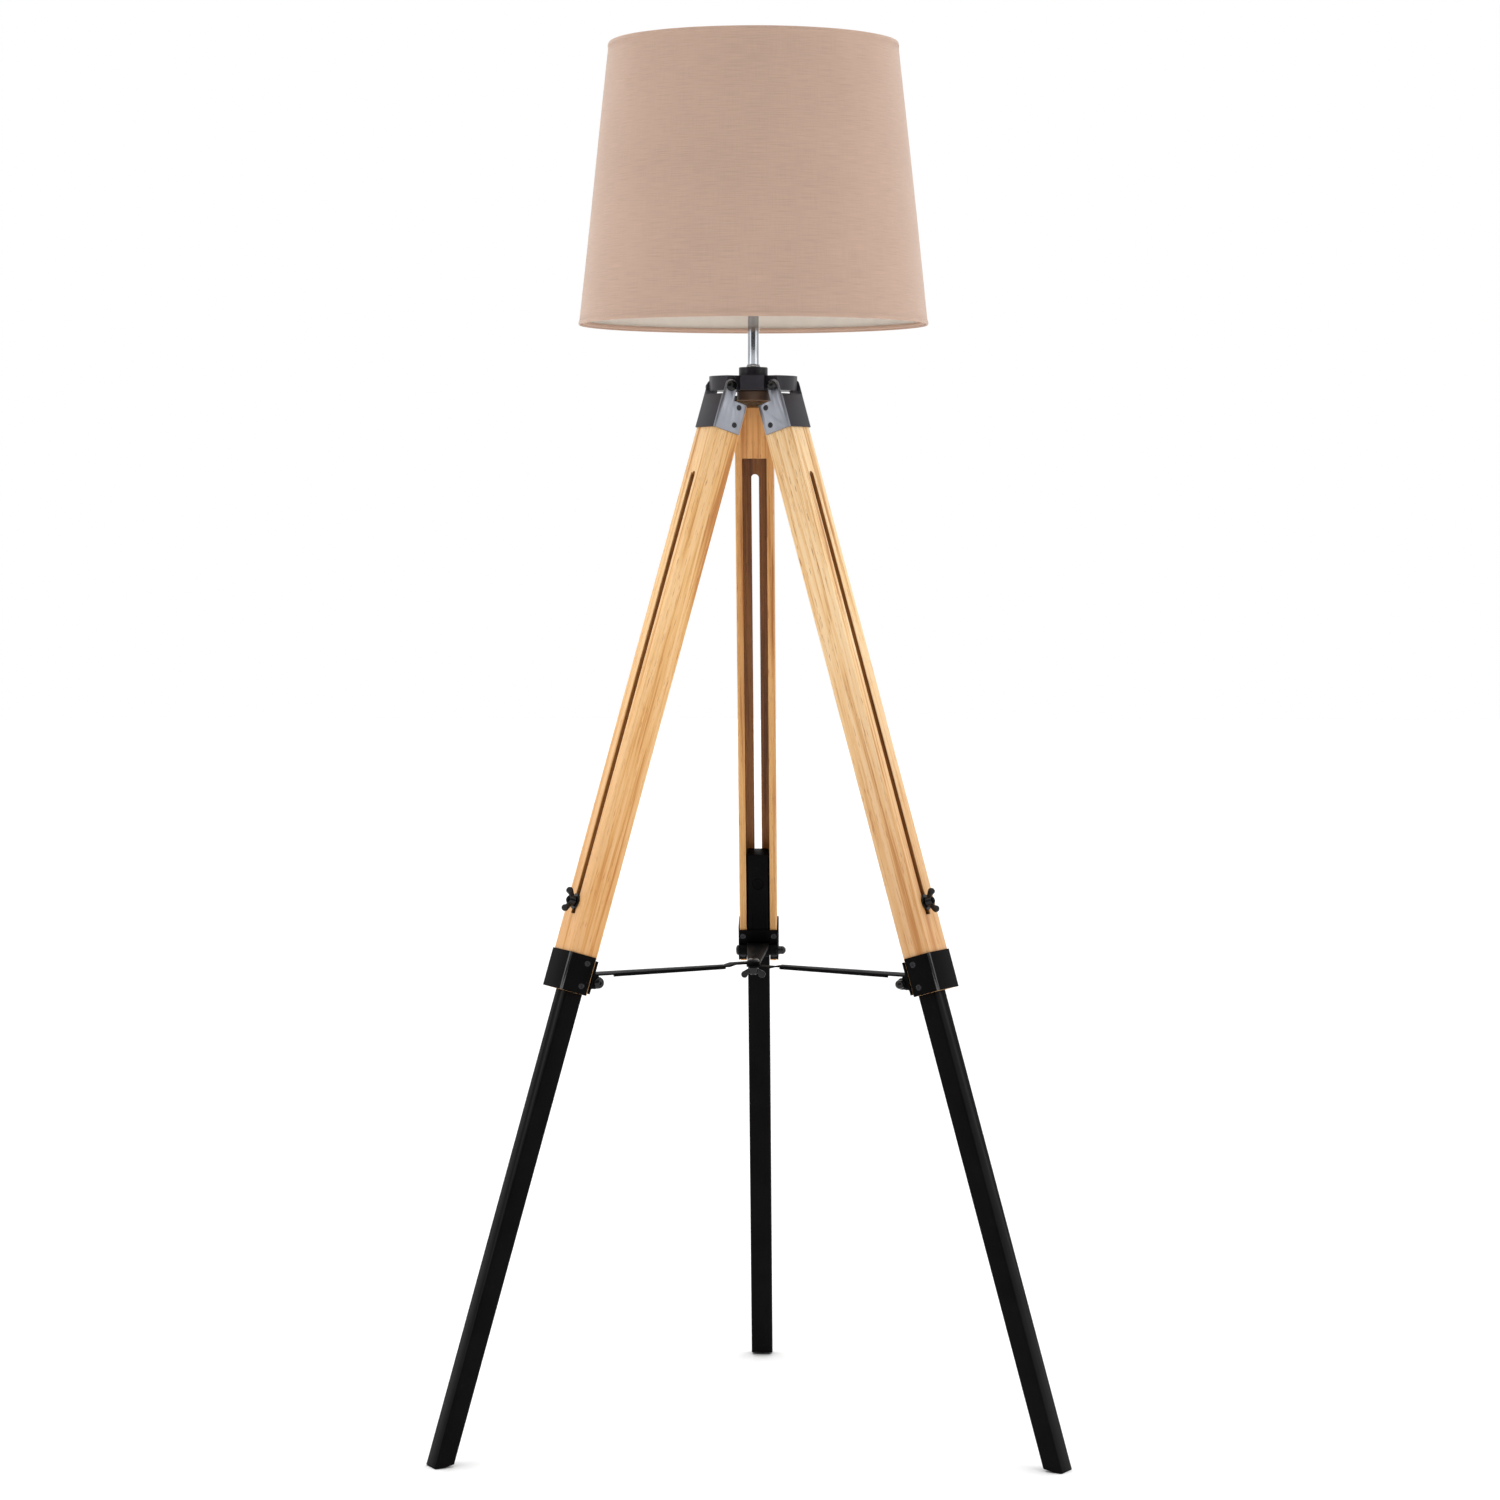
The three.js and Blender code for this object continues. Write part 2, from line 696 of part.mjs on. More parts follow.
// The lamp's axis, seen from a strut's pivot: how far in it is and how high the strip lies above it.
const pivotRadius = hinge.radius + pivotX * Math.cos(hinge.lean) - pivotZ * Math.sin(hinge.lean);
const pivotHeight = hinge.height + pivotX * Math.sin(hinge.lean) + pivotZ * Math.cos(hinge.lean);
const stripHeight = pivotHeight + eyeInner + strut.thickness / 2;

// A strut lies level. Here X runs from the lamp's axis out to the leg and Z = 0 is the strip's middle.
function strutSolid(step) {
  const half = strut.thickness / 2;
  const tip = strut.innerWidth / 2;
  const root = strut.outerWidth / 2;
  const rootStart = pivotRadius - strut.plainRoot;
  const plan = [
    ...arc([0, 0], tip, 90 * DEG, 270 * DEG, 8), [strut.plainTip, -tip], [rootStart, -root],
    [pivotRadius, -root], [pivotRadius, root], [rootStart, root], [strut.plainTip, tip],
  ];
  const bendEnd = strut.joggleStart + strut.joggleLength;
  const side = [
    [-tip - 1, step - half], [strut.joggleStart, step - half], [bendEnd, -half], [pivotRadius, -half],
    [pivotRadius, half], [bendEnd, half], [strut.joggleStart, step + half], [-tip - 1, step + half],
  ];
  const outline = step === 0 ? side.filter(([x]) => x < strut.joggleStart - 1 || x > bendEnd + 1) : side;
  const strip = prism(outline, -root - 1, root + 1, "y").intersect(prism(plan, -12, 12));
  const flangeAt = (x) => tip + ((x - strut.plainTip) / (rootStart - strut.plainTip)) * (root - tip);
  const flanges = [-1, 1].map((sideOf) => {
    const start = strut.plainTip + 2;
    const end = rootStart - 2;
    const edge = (x, inset) => [x, sideOf * (flangeAt(x) - inset)];
    const shape = [edge(start, 0), edge(end, 0), edge(end, strut.flangeThickness), edge(start, strut.flangeThickness)];
    return prism(sideOf > 0 ? shape.reverse() : shape, -half - strut.flangeDrop, 0);
  });
  const eyeZ = -(eyeInner + half);
  const eye = alongY(rod(eyeOuter, -root, root, sides.medium), pivotRadius, eyeZ);
  const eyeHole = alongY(rod(eyeInner, -root - 1, root + 1, sides.medium), pivotRadius, eyeZ);
  const boltHole = rod(strut.boltRadius + RUNNING_GAP, step - 5, step + 5);
  return cut(join(strip, ...flanges, eye), eyeHole, boltHole);
}

// ---------------------------------------------------------------------------------------------
// Sliding leg and clamp
// ---------------------------------------------------------------------------------------------

// World height of a point in a spread leg's frame.
const floorZ = (x) => (-hinge.height - x * Math.sin(hinge.lean)) / Math.cos(hinge.lean);

function lowerLegSolid() {
  const outline = easedRectangle(lowerLeg.innerFace, lowerOuter, lowerLeg.halfWidth, lowerLeg.edge);
  const body = prism(outline, floorZ(lowerLeg.innerFace) - 20, lowerLegTop);
  const flatEnd = lowerOuter - lowerLeg.footFlat;
  const ramp = floorZ(lowerLeg.innerFace) + lowerLeg.footLift / Math.cos(hinge.lean);
  const deep = floorZ(lowerOuter) - 60;
  const under = [
    [lowerOuter + 5, deep], [lowerOuter + 5, floorZ(lowerOuter + 5)], [flatEnd, floorZ(flatEnd)],
    [lowerLeg.innerFace, ramp], [lowerLeg.innerFace - 5, ramp], [lowerLeg.innerFace - 5, deep],
  ];
  const below = prism(under, -lowerLeg.halfWidth - 2, lowerLeg.halfWidth + 2, "y");
  const hole = alongX(rod(clamp.boltRadius + RUNNING_GAP, lowerLeg.innerFace - 1, lowerOuter + 1), 0, clampPlace);
  const recess = alongX(rod(clamp.headRadius + RUNNING_GAP, lowerLeg.innerFace - 1,
    lowerLeg.innerFace + clamp.headDepth + SEAT_GAP, sides.medium), 0, clampPlace);
  return cut(body, below, hole, recess);
}

const washerSeat = woodOuter + SEAT_GAP;
const wingSeat = washerSeat + clamp.washerThickness + SEAT_GAP;

function clampBolt() {
  const end = wingSeat + wing.hubHeight + 1.2;
  const head = rod(clamp.headRadius, lowerLeg.innerFace, lowerLeg.innerFace + clamp.headDepth, sides.medium);
  const shank = rod(clamp.boltRadius, lowerLeg.innerFace + 0.5, end);
  return alongX(join(head, shank), 0, clampPlace);
}

function clampWasher() {
  const ring = tube(clamp.boltRadius + RUNNING_GAP, clamp.washerRadius, washerSeat,
    washerSeat + clamp.washerThickness);
  return alongX(ring, 0, clampPlace);
}

// A wing nut for a bolt, with its seat at Z = 0 and its wings along X.
function wingNut(boltRadius) {
  const { hubRadius, hubTopRadius, hubHeight, span, rise, thickness } = wing;
  const bore = boltRadius + RUNNING_GAP;
  const body = turned([
    [bore, 0], [hubRadius, 0], [hubTopRadius, hubHeight], [bore, hubHeight], [bore, 0],
  ], sides.small);
  const lobe = 3.6;
  const outline = (side) => [
    [side * (bore + 0.5), 1], ...arc([side * (span - lobe), rise - lobe], lobe,
      side > 0 ? -60 * DEG : 240 * DEG, side > 0 ? 130 * DEG : 50 * DEG, 5),
    [side * (bore + 0.5), hubHeight * 0.8],
  ];
  const wings = [1, -1].map((side) =>
    prism(side > 0 ? outline(side) : outline(side).reverse(), -thickness / 2, thickness / 2, "y"));
  const hole = rod(bore, -1, rise + 1);
  return cut(join(body, ...wings), hole);
}

// ---------------------------------------------------------------------------------------------
// Centre joint of the struts
// ---------------------------------------------------------------------------------------------

const stackTop = stripHeight + strutStep + strut.thickness / 2;
const stackBottom = stripHeight - strutStep - strut.thickness / 2;

function centreBolt() {
  const seat = stackTop + SEAT_GAP;
  const head = 3.4;
  const headRadius = 6.2;
  const dome = arc([0, 0], 1, 0, 90 * DEG, 3).map(([a, b]) => [a * headRadius, seat + 0.8 + b * (head - 0.8)]);
  dome[dome.length - 1][0] = 0;
  const end = stackBottom - SEAT_GAP - wing.hubHeight - 1.2;
  return turned([[0, end], [strut.boltRadius, end], [strut.boltRadius, seat], [headRadius, seat], ...dome], sides.small);
}

// ---------------------------------------------------------------------------------------------
// Assembly
// ---------------------------------------------------------------------------------------------

const head = new THREE.Group();
head.add(
  node("hub_disc", hubDisc(), finish.hubMetal),
  node("hub_boss", hubBoss(), finish.hubMetal),
  node("hub_nut", hubNutSolid(), finish.hubMetal),
  node("cord_gland", cordGland(), finish.plastic),
  node("stem_tube", stemTube(), finish.chrome),
  node("stem_collar", stemCollar(), finish.chrome),
  node("stem_rod", stemRod(), finish.steel),
  node("lampholder_shell", holderShell(), finish.plastic),
  node("lampholder_insert", holderInsert(), finish.liner),
  node("holder_ring_lower", holderRing(-1), finish.plastic),
  node("holder_ring_upper", holderRing(1), finish.plastic),
  node("bulb", bulbSolid(), finish.glass),
  node("shade_cover", shadeShell(0, shade.coverThickness, 0), finish.fabric),
  node("shade_liner", shadeShell(linerOutset, shade.linerThickness, 0.5), finish.liner),
  node("shade_top_ring", wireRing(shadeTop - shade.wireInset), finish.steel),
  node("shade_spider", shadeSpider(), finish.liner),
);

// One leg with everything that folds with it, in its hinge's frame.
function buildLeg({ name, azimuth, step }) {
  const round = new THREE.Group();
  round.rotation.z = azimuth;

  const leaning = new THREE.Group();
  leaning.position.set(hinge.radius, 0, hinge.height);
  leaning.rotation.y = -hinge.lean;
  round.add(leaning);

  const clampNut = wingNut(clamp.boltRadius).rotate([0, 90, 0]).translate([wingSeat, 0, clampPlace]);
  leaning.add(
    node(`leg_upper_${name}`, upperLeg(), finish.wood),
    node(`top_bracket_${name}`, topBracket(), finish.greyMetal),
    node(`lower_sleeve_${name}`, lowerSleeve(), finish.blackMetal),
    node(`hinge_plate_${name}`, hingePlateSolid(), finish.blackMetal),
    node(`hinge_bolt_${name}`, crossBolt(bolt.radius, 0, 0, bracket.halfWidth), finish.blackMetal),
    node(`strut_bolt_${name}`, crossBolt(strutPivot.boltRadius, pivotX, pivotZ, plateOuterHalf), finish.blackMetal),
    node(`strut_bush_${name}`, strutBush(), finish.blackMetal),
    node(`hinge_cap_nut_${name}`, capNut(bolt.radius, 0, 0, bracket.halfWidth), finish.blackMetal),
    node(`strut_cap_nut_${name}`, capNut(strutPivot.boltRadius, pivotX, pivotZ, plateOuterHalf), finish.blackMetal),
    node(`leg_lower_${name}`, lowerLegSolid(), finish.blackPaint),
    node(`clamp_bolt_${name}`, clampBolt(), finish.blackMetal),
    node(`clamp_washer_${name}`, clampWasher(), finish.steel),
    node(`wing_nut_${name}`, clampNut, finish.blackMetal),
  );

  const strutMesh = node(`strut_${name}`, strutSolid(step), finish.blackMetal);
  strutMesh.position.z = stripHeight;
  round.add(strutMesh);
  return round;
}

const lamp = new THREE.Group();
lamp.add(head, ...legs.map(buildLeg));
lamp.add(node("centre_bolt", centreBolt(), finish.blackMetal));
const centreNut = wingNut(strut.boltRadius).rotate([180, 0, 0]).translate([0, 0, stackBottom - SEAT_GAP]);
lamp.add(node("centre_wing_nut", centreNut, finish.blackMetal));

// The footprint reaches further towards the back leg than towards the front pair.
const footReach = (x) => hinge.radius + x * Math.cos(hinge.lean) - floorZ(x) * Math.sin(hinge.lean);
const backReach = footReach(lowerOuter);
const frontReach = footReach(lowerOuter - lowerLeg.edge) * Math.sin(30 * DEG)
  + lowerLeg.halfWidth * Math.cos(30 * DEG);
lamp.position.y = (frontReach - backReach) / 2;

export default lamp;
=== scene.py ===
"""Tripod floor lamp: the visual model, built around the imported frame.

Every sub-assembly is a class with its sizes as fields, in metres. A leg's pieces are made in the
leg's own frame, where X points outward, square to the leg, Y runs around the lamp and Z runs up the
leg from its hinge. The frame's joints say where each leg, strut and wing nut is.
"""

import json
import logging
import math
from dataclasses import dataclass, field
from enum import Enum
from typing import Callable, Iterable, Optional, Sequence

import bmesh
import bpy
from mathutils import Matrix, Vector


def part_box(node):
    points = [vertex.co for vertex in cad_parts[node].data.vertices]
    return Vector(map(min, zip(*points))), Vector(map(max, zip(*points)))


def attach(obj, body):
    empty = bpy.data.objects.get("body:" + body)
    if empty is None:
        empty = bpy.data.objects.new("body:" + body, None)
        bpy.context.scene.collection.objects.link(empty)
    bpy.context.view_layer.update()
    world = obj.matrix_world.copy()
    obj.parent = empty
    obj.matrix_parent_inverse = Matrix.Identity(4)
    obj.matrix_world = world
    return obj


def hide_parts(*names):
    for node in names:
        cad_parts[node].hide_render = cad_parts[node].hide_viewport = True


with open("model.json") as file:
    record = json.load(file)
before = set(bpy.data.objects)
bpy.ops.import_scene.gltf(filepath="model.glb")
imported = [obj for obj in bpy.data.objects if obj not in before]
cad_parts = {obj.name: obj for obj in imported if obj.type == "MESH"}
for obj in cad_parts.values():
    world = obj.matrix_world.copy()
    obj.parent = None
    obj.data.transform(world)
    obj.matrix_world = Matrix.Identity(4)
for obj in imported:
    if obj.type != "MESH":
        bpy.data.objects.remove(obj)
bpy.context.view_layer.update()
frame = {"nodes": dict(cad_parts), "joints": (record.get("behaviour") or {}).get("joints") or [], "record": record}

LOG = logging.getLogger("lamp")
PLACE = "leg_place"                 # the attribute that holds a point's place in its leg's frame
FULL_TURN = 2 * math.pi
SHARP = math.radians(32)            # a crease is kept where faces meet at more than this
ROUND = math.radians(60)            # the same for cloth and glass
SEAT_GAP = 0.0003                   # between a piece and what it seats on or runs in
MERGE = 1e-6                        # points nearer than this are one
AZIMUTHS = (90, 210, 330)           # the legs' directions around the lamp, in degrees
NOISE_LOW, NOISE_HIGH = 0.3, 0.7    # the range that most of a noise's values fall in

Point2 = tuple[float, float]
Colour = tuple[float, float, float]


# ------------------------------------------------------------------------------------------------
# Materials
# ------------------------------------------------------------------------------------------------


class Shader:
    """A small hand for wiring a node material."""

    def __init__(self, name: str) -> None:
        """Start an empty node material.

        Args:
            name: The material's name.
        """
        self.material = bpy.data.materials.new(name)
        self.material.use_nodes = True
        self.tree = self.material.node_tree
        self.tree.nodes.clear()
        self.bsdf = self.tree.nodes.new("ShaderNodeBsdfPrincipled")
        output = self.tree.nodes.new("ShaderNodeOutputMaterial")
        self.tree.links.new(self.bsdf.outputs["BSDF"], output.inputs["Surface"])

    def link(self, source: bpy.types.NodeSocket, target: bpy.types.NodeSocket) -> None:
        """Join an output to an input.

        Args:
            source: The output.
            target: The input.
        """
        self.tree.links.new(source, target)

    def feed(self, name: str, value: object) -> None:
        """Give the surface one of its inputs.

        Args:
            name: The input's name.
            value: A socket to link, or a constant for the input's own socket.
        """
        socket = self.bsdf.inputs[name]
        if isinstance(value, bpy.types.NodeSocket):
            self.link(value, socket)
        else:
            socket.default_value = value

    def object_place(self) -> bpy.types.NodeSocket:
        """Object coordinates.

        Returns:
            The place, in metres.
        """
        return self.tree.nodes.new("ShaderNodeTexCoord").outputs["Object"]

    def uv_place(self) -> bpy.types.NodeSocket:
        """The piece's own UV map.

        Returns:
            The place on the map.
        """
        return self.tree.nodes.new("ShaderNodeTexCoord").outputs["UV"]

    def leg_place(self) -> bpy.types.NodeSocket:
        """Coordinates in the leg's own frame, from the piece's attribute.

        Returns:
            The place, in metres.
        """
        node = self.tree.nodes.new("ShaderNodeAttribute")
        node.attribute_name = PLACE
        return node.outputs["Vector"]

    def axis(self, place: bpy.types.NodeSocket, name: str) -> bpy.types.NodeSocket:
        """One coordinate of a place.

        Args:
            place: The place.
            name: "X", "Y" or "Z".

        Returns:
            The coordinate.
        """
        parts = self.tree.nodes.new("ShaderNodeSeparateXYZ")
        self.link(place, parts.inputs["Vector"])
        return parts.outputs[name]

    def scaled(self, place: bpy.types.NodeSocket, scale: Sequence[float],
               shift: Sequence[float] = (0, 0, 0)) -> bpy.types.NodeSocket:
        """Stretch coordinates.

        Args:
            place: The coordinates.
            scale: The factor along each axis.
            shift: What is added along each axis.

        Returns:
            The stretched coordinates.
        """
        node = self.tree.nodes.new("ShaderNodeMapping")
        node.inputs["Scale"].default_value = scale
        node.inputs["Location"].default_value = shift
        self.link(place, node.inputs["Vector"])
        return node.outputs["Vector"]

    def noise(self, place: bpy.types.NodeSocket, scale: float, detail: float = 3.0,
              roughness: float = 0.5, distortion: float = 0.0) -> bpy.types.NodeSocket:
        """A noise value from 0 to 1.

        Args:
            place: Where it is read.
            scale: Its cells in each metre.
            detail: How many finer layers it has.
            roughness: How strong those layers are.
            distortion: How much it is warped.

        Returns:
            The value.
        """
        node = self.tree.nodes.new("ShaderNodeTexNoise")
        node.inputs["Scale"].default_value = scale
        node.inputs["Detail"].default_value = detail
        node.inputs["Roughness"].default_value = roughness
        node.inputs["Distortion"].default_value = distortion
        self.link(place, node.inputs["Vector"])
        return node.outputs["Fac"]

    def math(self, operation: str, first: object, second: object = 0.0) -> bpy.types.NodeSocket:
        """A math node.

        Args:
            operation: The node's operation.
            first: A socket or number.
            second: A socket or number.

        Returns:
            The result.
        """
        node = self.tree.nodes.new("ShaderNodeMath")
        node.operation = operation
        for index, value in enumerate((first, second)):
            if isinstance(value, bpy.types.NodeSocket):
                self.link(value, node.inputs[index])
            else:
                node.inputs[index].default_value = value
        return node.outputs["Value"]

    def sum(self, *terms: tuple[bpy.types.NodeSocket, float]) -> bpy.types.NodeSocket:
        """A weighted sum.

        Args:
            *terms: Pairs of a value and its weight.

        Returns:
            The sum.
        """
        total: Optional[bpy.types.NodeSocket] = None
        for value, weight in terms:
            term = self.math("MULTIPLY", value, weight)
            total = term if total is None else self.math("ADD", total, term)
        return total

    def ramp(self, value: bpy.types.NodeSocket, stops: Sequence[tuple[float, Sequence[float]]],
             ) -> bpy.types.NodeSocket:
        """A colour ramp.

        Args:
            value: The position, from 0 to 1.
            stops: Pairs of position and RGB colour.

        Returns:
            The colour.
        """
        node = self.tree.nodes.new("ShaderNodeValToRGB")
        elements = node.color_ramp.elements
        while len(elements) < len(stops):
            elements.new(0.5)
        for element, (position, colour) in zip(elements, stops):
            element.position = position
            element.color = (*colour, 1.0)
        self.link(value, node.inputs["Fac"])
        return node.outputs["Color"]

    def span(self, value: bpy.types.NodeSocket, low: float, high: float,
             from_low: float = 0.0, from_high: float = 1.0) -> bpy.types.NodeSocket:
        """Map a value from one range to another.

        Args:
            value: The value.
            low: What the start of its range becomes.
            high: What the end of its range becomes.
            from_low: The start of its range.
            from_high: The end of its range.

        Returns:
            The mapped value.
        """
        node = self.tree.nodes.new("ShaderNodeMapRange")
        node.inputs["From Min"].default_value = from_low
        node.inputs["From Max"].default_value = from_high
        node.inputs["To Min"].default_value = low
        node.inputs["To Max"].default_value = high
        self.link(value, node.inputs["Value"])
        return node.outputs["Result"]

    def mix(self, share: bpy.types.NodeSocket, first: bpy.types.NodeSocket, second: Colour,
            ) -> bpy.types.NodeSocket:
        """Mix a colour into another.

        Args:
            share: How much of the second.
            first: The colour that is there.
            second: The RGB colour that is mixed in.

        Returns:
            The mixed colour.
        """
        node = self.tree.nodes.new("ShaderNodeMix")
        node.data_type = "RGBA"
        factor, base, added = [s for s in node.inputs if s.enabled]
        self.link(share, factor)
        self.link(first, base)
        added.default_value = (*second, 1.0)
        return next(s for s in node.outputs if s.enabled)

    def bump(self, height: bpy.types.NodeSocket, strength: float, distance: float,
             after: Optional[bpy.types.NodeSocket] = None) -> bpy.types.NodeSocket:
        """A bump node.

        Args:
            height: The relief's height, from 0 to 1.
            strength: How strongly it shows.
            distance: How high 1 is, in metres.
            after: The normal of another bump that this one is laid over.

        Returns:
            The normal.
        """
        node = self.tree.nodes.new("ShaderNodeBump")
        node.inputs["Strength"].default_value = strength
        node.inputs["Distance"].default_value = distance
        self.link(height, node.inputs["Height"])
        if after is not None:
            self.link(after, node.inputs["Normal"])
        return node.outputs["Normal"]

    def shade(self, value: bpy.types.NodeSocket, colour: Colour, darker: float, lighter: float,
              lift: float = 0.0) -> None:
        """Colour the surface between a darker and a lighter shade of one colour.

        Args:
            value: The noise that picks the shade.
            colour: The colour.
            darker: The factor of the darker shade.
            lighter: The factor of the lighter shade.
            lift: What is added to the lighter shade.
        """
        low = tuple(c * darker for c in colour)
        high = tuple(min(1.0, c * lighter + lift) for c in colour)
        self.feed("Base Color", self.ramp(value, [(NOISE_LOW, low), (NOISE_HIGH, high)]))

    def wear(self, value: bpy.types.NodeSocket, low: float, high: float) -> None:
        """Let the roughness wander between two values.

        Args:
            value: The noise that it follows.
            low: The lowest roughness.
            high: The highest roughness.
        """
        self.feed("Roughness", self.span(value, low, high, NOISE_LOW, NOISE_HIGH))


@dataclass(frozen=True)
class PaintedMetal:
    """Powder coat or lacquer on metal, with its fine orange peel and worn, uneven gloss."""

    name: str
    colour: Colour
    roughness: float = 0.42
    spread: float = 0.10
    peel: float = 0.12
    gloss: float = 0.1
    cloud_scale: float = 38.0
    peel_scale: float = 1900.0
    peel_height: float = 0.00012
    darker: float = 0.82
    lighter: float = 1.22
    lift: float = 0.001

    def build(self) -> bpy.types.Material:
        """Wire the material.

        Returns:
            The material.
        """
        s = Shader(self.name)
        place = s.object_place()
        cloud = s.noise(place, self.cloud_scale, 4.0)
        peel = s.noise(place, self.peel_scale, 2.0)
        s.shade(cloud, self.colour, self.darker, self.lighter, self.lift)
        s.wear(cloud, self.roughness - self.spread / 2, self.roughness + self.spread / 2)
        s.feed("Normal", s.bump(peel, self.peel, self.peel_height))
        s.feed("Specular IOR Level", self.gloss)
        return s.material


@dataclass(frozen=True)
class BareMetal:
    """Rolled, brushed or plated metal with fine lines along one axis."""

    name: str
    colour: Colour
    roughness: float
    lines: tuple[float, float, float] = (1.0, 1.0, 0.04)
    strength: float = 0.08
    in_leg: bool = False
    line_scale: float = 900.0
    line_height: float = 0.00008
    cloud_scale: float = 55.0
    darker: float = 0.9
    lighter: float = 1.08
    smoothest: float = 0.85
    roughest: float = 1.2

    def build(self) -> bpy.types.Material:
        """Wire the material.

        Returns:
            The material.
        """
        s = Shader(self.name)
        place = s.leg_place() if self.in_leg else s.object_place()
        streak = s.noise(s.scaled(place, self.lines), self.line_scale, 3.0)
        s.shade(s.noise(place, self.cloud_scale, 3.0), self.colour, self.darker, self.lighter)
        s.wear(streak, self.roughness * self.smoothest, self.roughness * self.roughest)
        s.feed("Normal", s.bump(streak, self.strength, self.line_height))
        s.feed("Metallic", 1.0)
        return s.material


@dataclass(frozen=True)
class Grain:
    """One layer of a wood's pattern, drawn out along the leg, and its weight in the tone."""

    squash: float
    scale: float
    detail: float
    roughness: float = 0.5
    distortion: float = 0.0
    weight: float = 0.0

    def value(self, s: Shader, place: bpy.types.NodeSocket) -> bpy.types.NodeSocket:
        """The layer's value.

        Args:
            s: The material that it is wired in.
            place: Where it is read, in the leg's frame.

        Returns:
            The value, from 0 to 1.
        """
        drawn = s.scaled(place, (1.0, 1.0, self.squash))
        return s.noise(drawn, self.scale, self.detail, self.roughness, self.distortion)


@dataclass(frozen=True)
class Timber:
    """Lacquered wood: growth streaks and pores, with painted shade that darkens it toward the leg's foot."""

    name: str
    pale: Colour
    mid: Colour
    dark: Colour
    shift: float
    # how much painted shade darkens the wood at the leg's foot
    foot: float = 0.0
    roughness: float = 0.42
    gloss: float = 0.3
    wander: Grain = Grain(0.18, 9.0, 2.0, weight=0.26)
    bands: Grain = Grain(0.028, 120.0, 4.0, 0.55, 0.5, weight=0.60)
    fine: Grain = Grain(0.018, 620.0, 3.0, 0.6, weight=0.30)
    pores: Grain = Grain(0.055, 1150.0, 2.0)
    stops: tuple[float, float, float, float] = (0.45, 0.54, 0.62, 0.76)
    pore_range: tuple[float, float] = (0.31, 0.37)
    pore_tint: Colour = (0.8, 0.6, 0.6)
    pore_share: float = 0.7
    # where the painted shade toward the foot starts and ends along the leg
    foot_shade_range: tuple[float, float] = (-0.60, -0.22)

    def build(self) -> bpy.types.Material:
        """Wire the material.

        Returns:
            The material.
        """
        s = Shader(self.name)
        offset = (self.shift, self.shift * 0.7, self.shift * 3.1)
        place = s.scaled(s.leg_place(), (1.0, 1.0, 1.0), offset)
        wander, bands, fine, pores = (
            layer.value(s, place) for layer in (self.wander, self.bands, self.fine, self.pores))
        tone = s.sum((bands, self.bands.weight), (fine, self.fine.weight), (wander, self.wander.weight))
        colour = s.ramp(tone, list(zip(self.stops, (self.dark, self.mid, self.pale, self.mid))))
        clear = s.span(pores, 0.0, 1.0, *self.pore_range)
        fleck = s.math("MULTIPLY", s.math("SUBTRACT", 1.0, clear), self.pore_share)
        colour = s.mix(fleck, colour, tuple(c * t for c, t in zip(self.dark, self.pore_tint)))
        # Painted shade: the wood is mixed toward its dark colour down the leg to the foot.
        height = s.axis(s.leg_place(), "Z")
        colour = s.mix(s.span(height, self.foot, 0.0, *self.foot_shade_range), colour, self.dark)
        s.feed("Base Color", colour)
        s.wear(fine, self.roughness - 0.06, self.roughness + 0.1)
        s.feed("Normal", s.bump(bands, 0.08, 0.0002, s.bump(clear, 0.25, 0.0001)))
        s.feed("Specular IOR Level", self.gloss)
        return s.material


@dataclass(frozen=True)
class PaintedTimber:
    """Black satin paint over wood: the grain shows through as soft lines."""

    name: str
    colour: Colour
    roughness: float = 0.40
    gloss: float = 0.025
    grain: Grain = Grain(0.03, 500.0, 3.0)
    grain_strength: float = 0.12
    grain_height: float = 0.00015
    cloud_scale: float = 30.0
    darker: float = 0.8
    lighter: float = 1.25

    def build(self) -> bpy.types.Material:
        """Wire the material.

        Returns:
            The material.
        """
        s = Shader(self.name)
        place = s.leg_place()
        grain = self.grain.value(s, place)
        s.shade(s.noise(place, self.cloud_scale, 3.0), self.colour, self.darker, self.lighter)
        s.wear(grain, self.roughness - 0.05, self.roughness + 0.08)
        s.feed("Normal", s.bump(grain, self.grain_strength, self.grain_height))
        s.feed("Specular IOR Level", self.gloss)
        return s.material


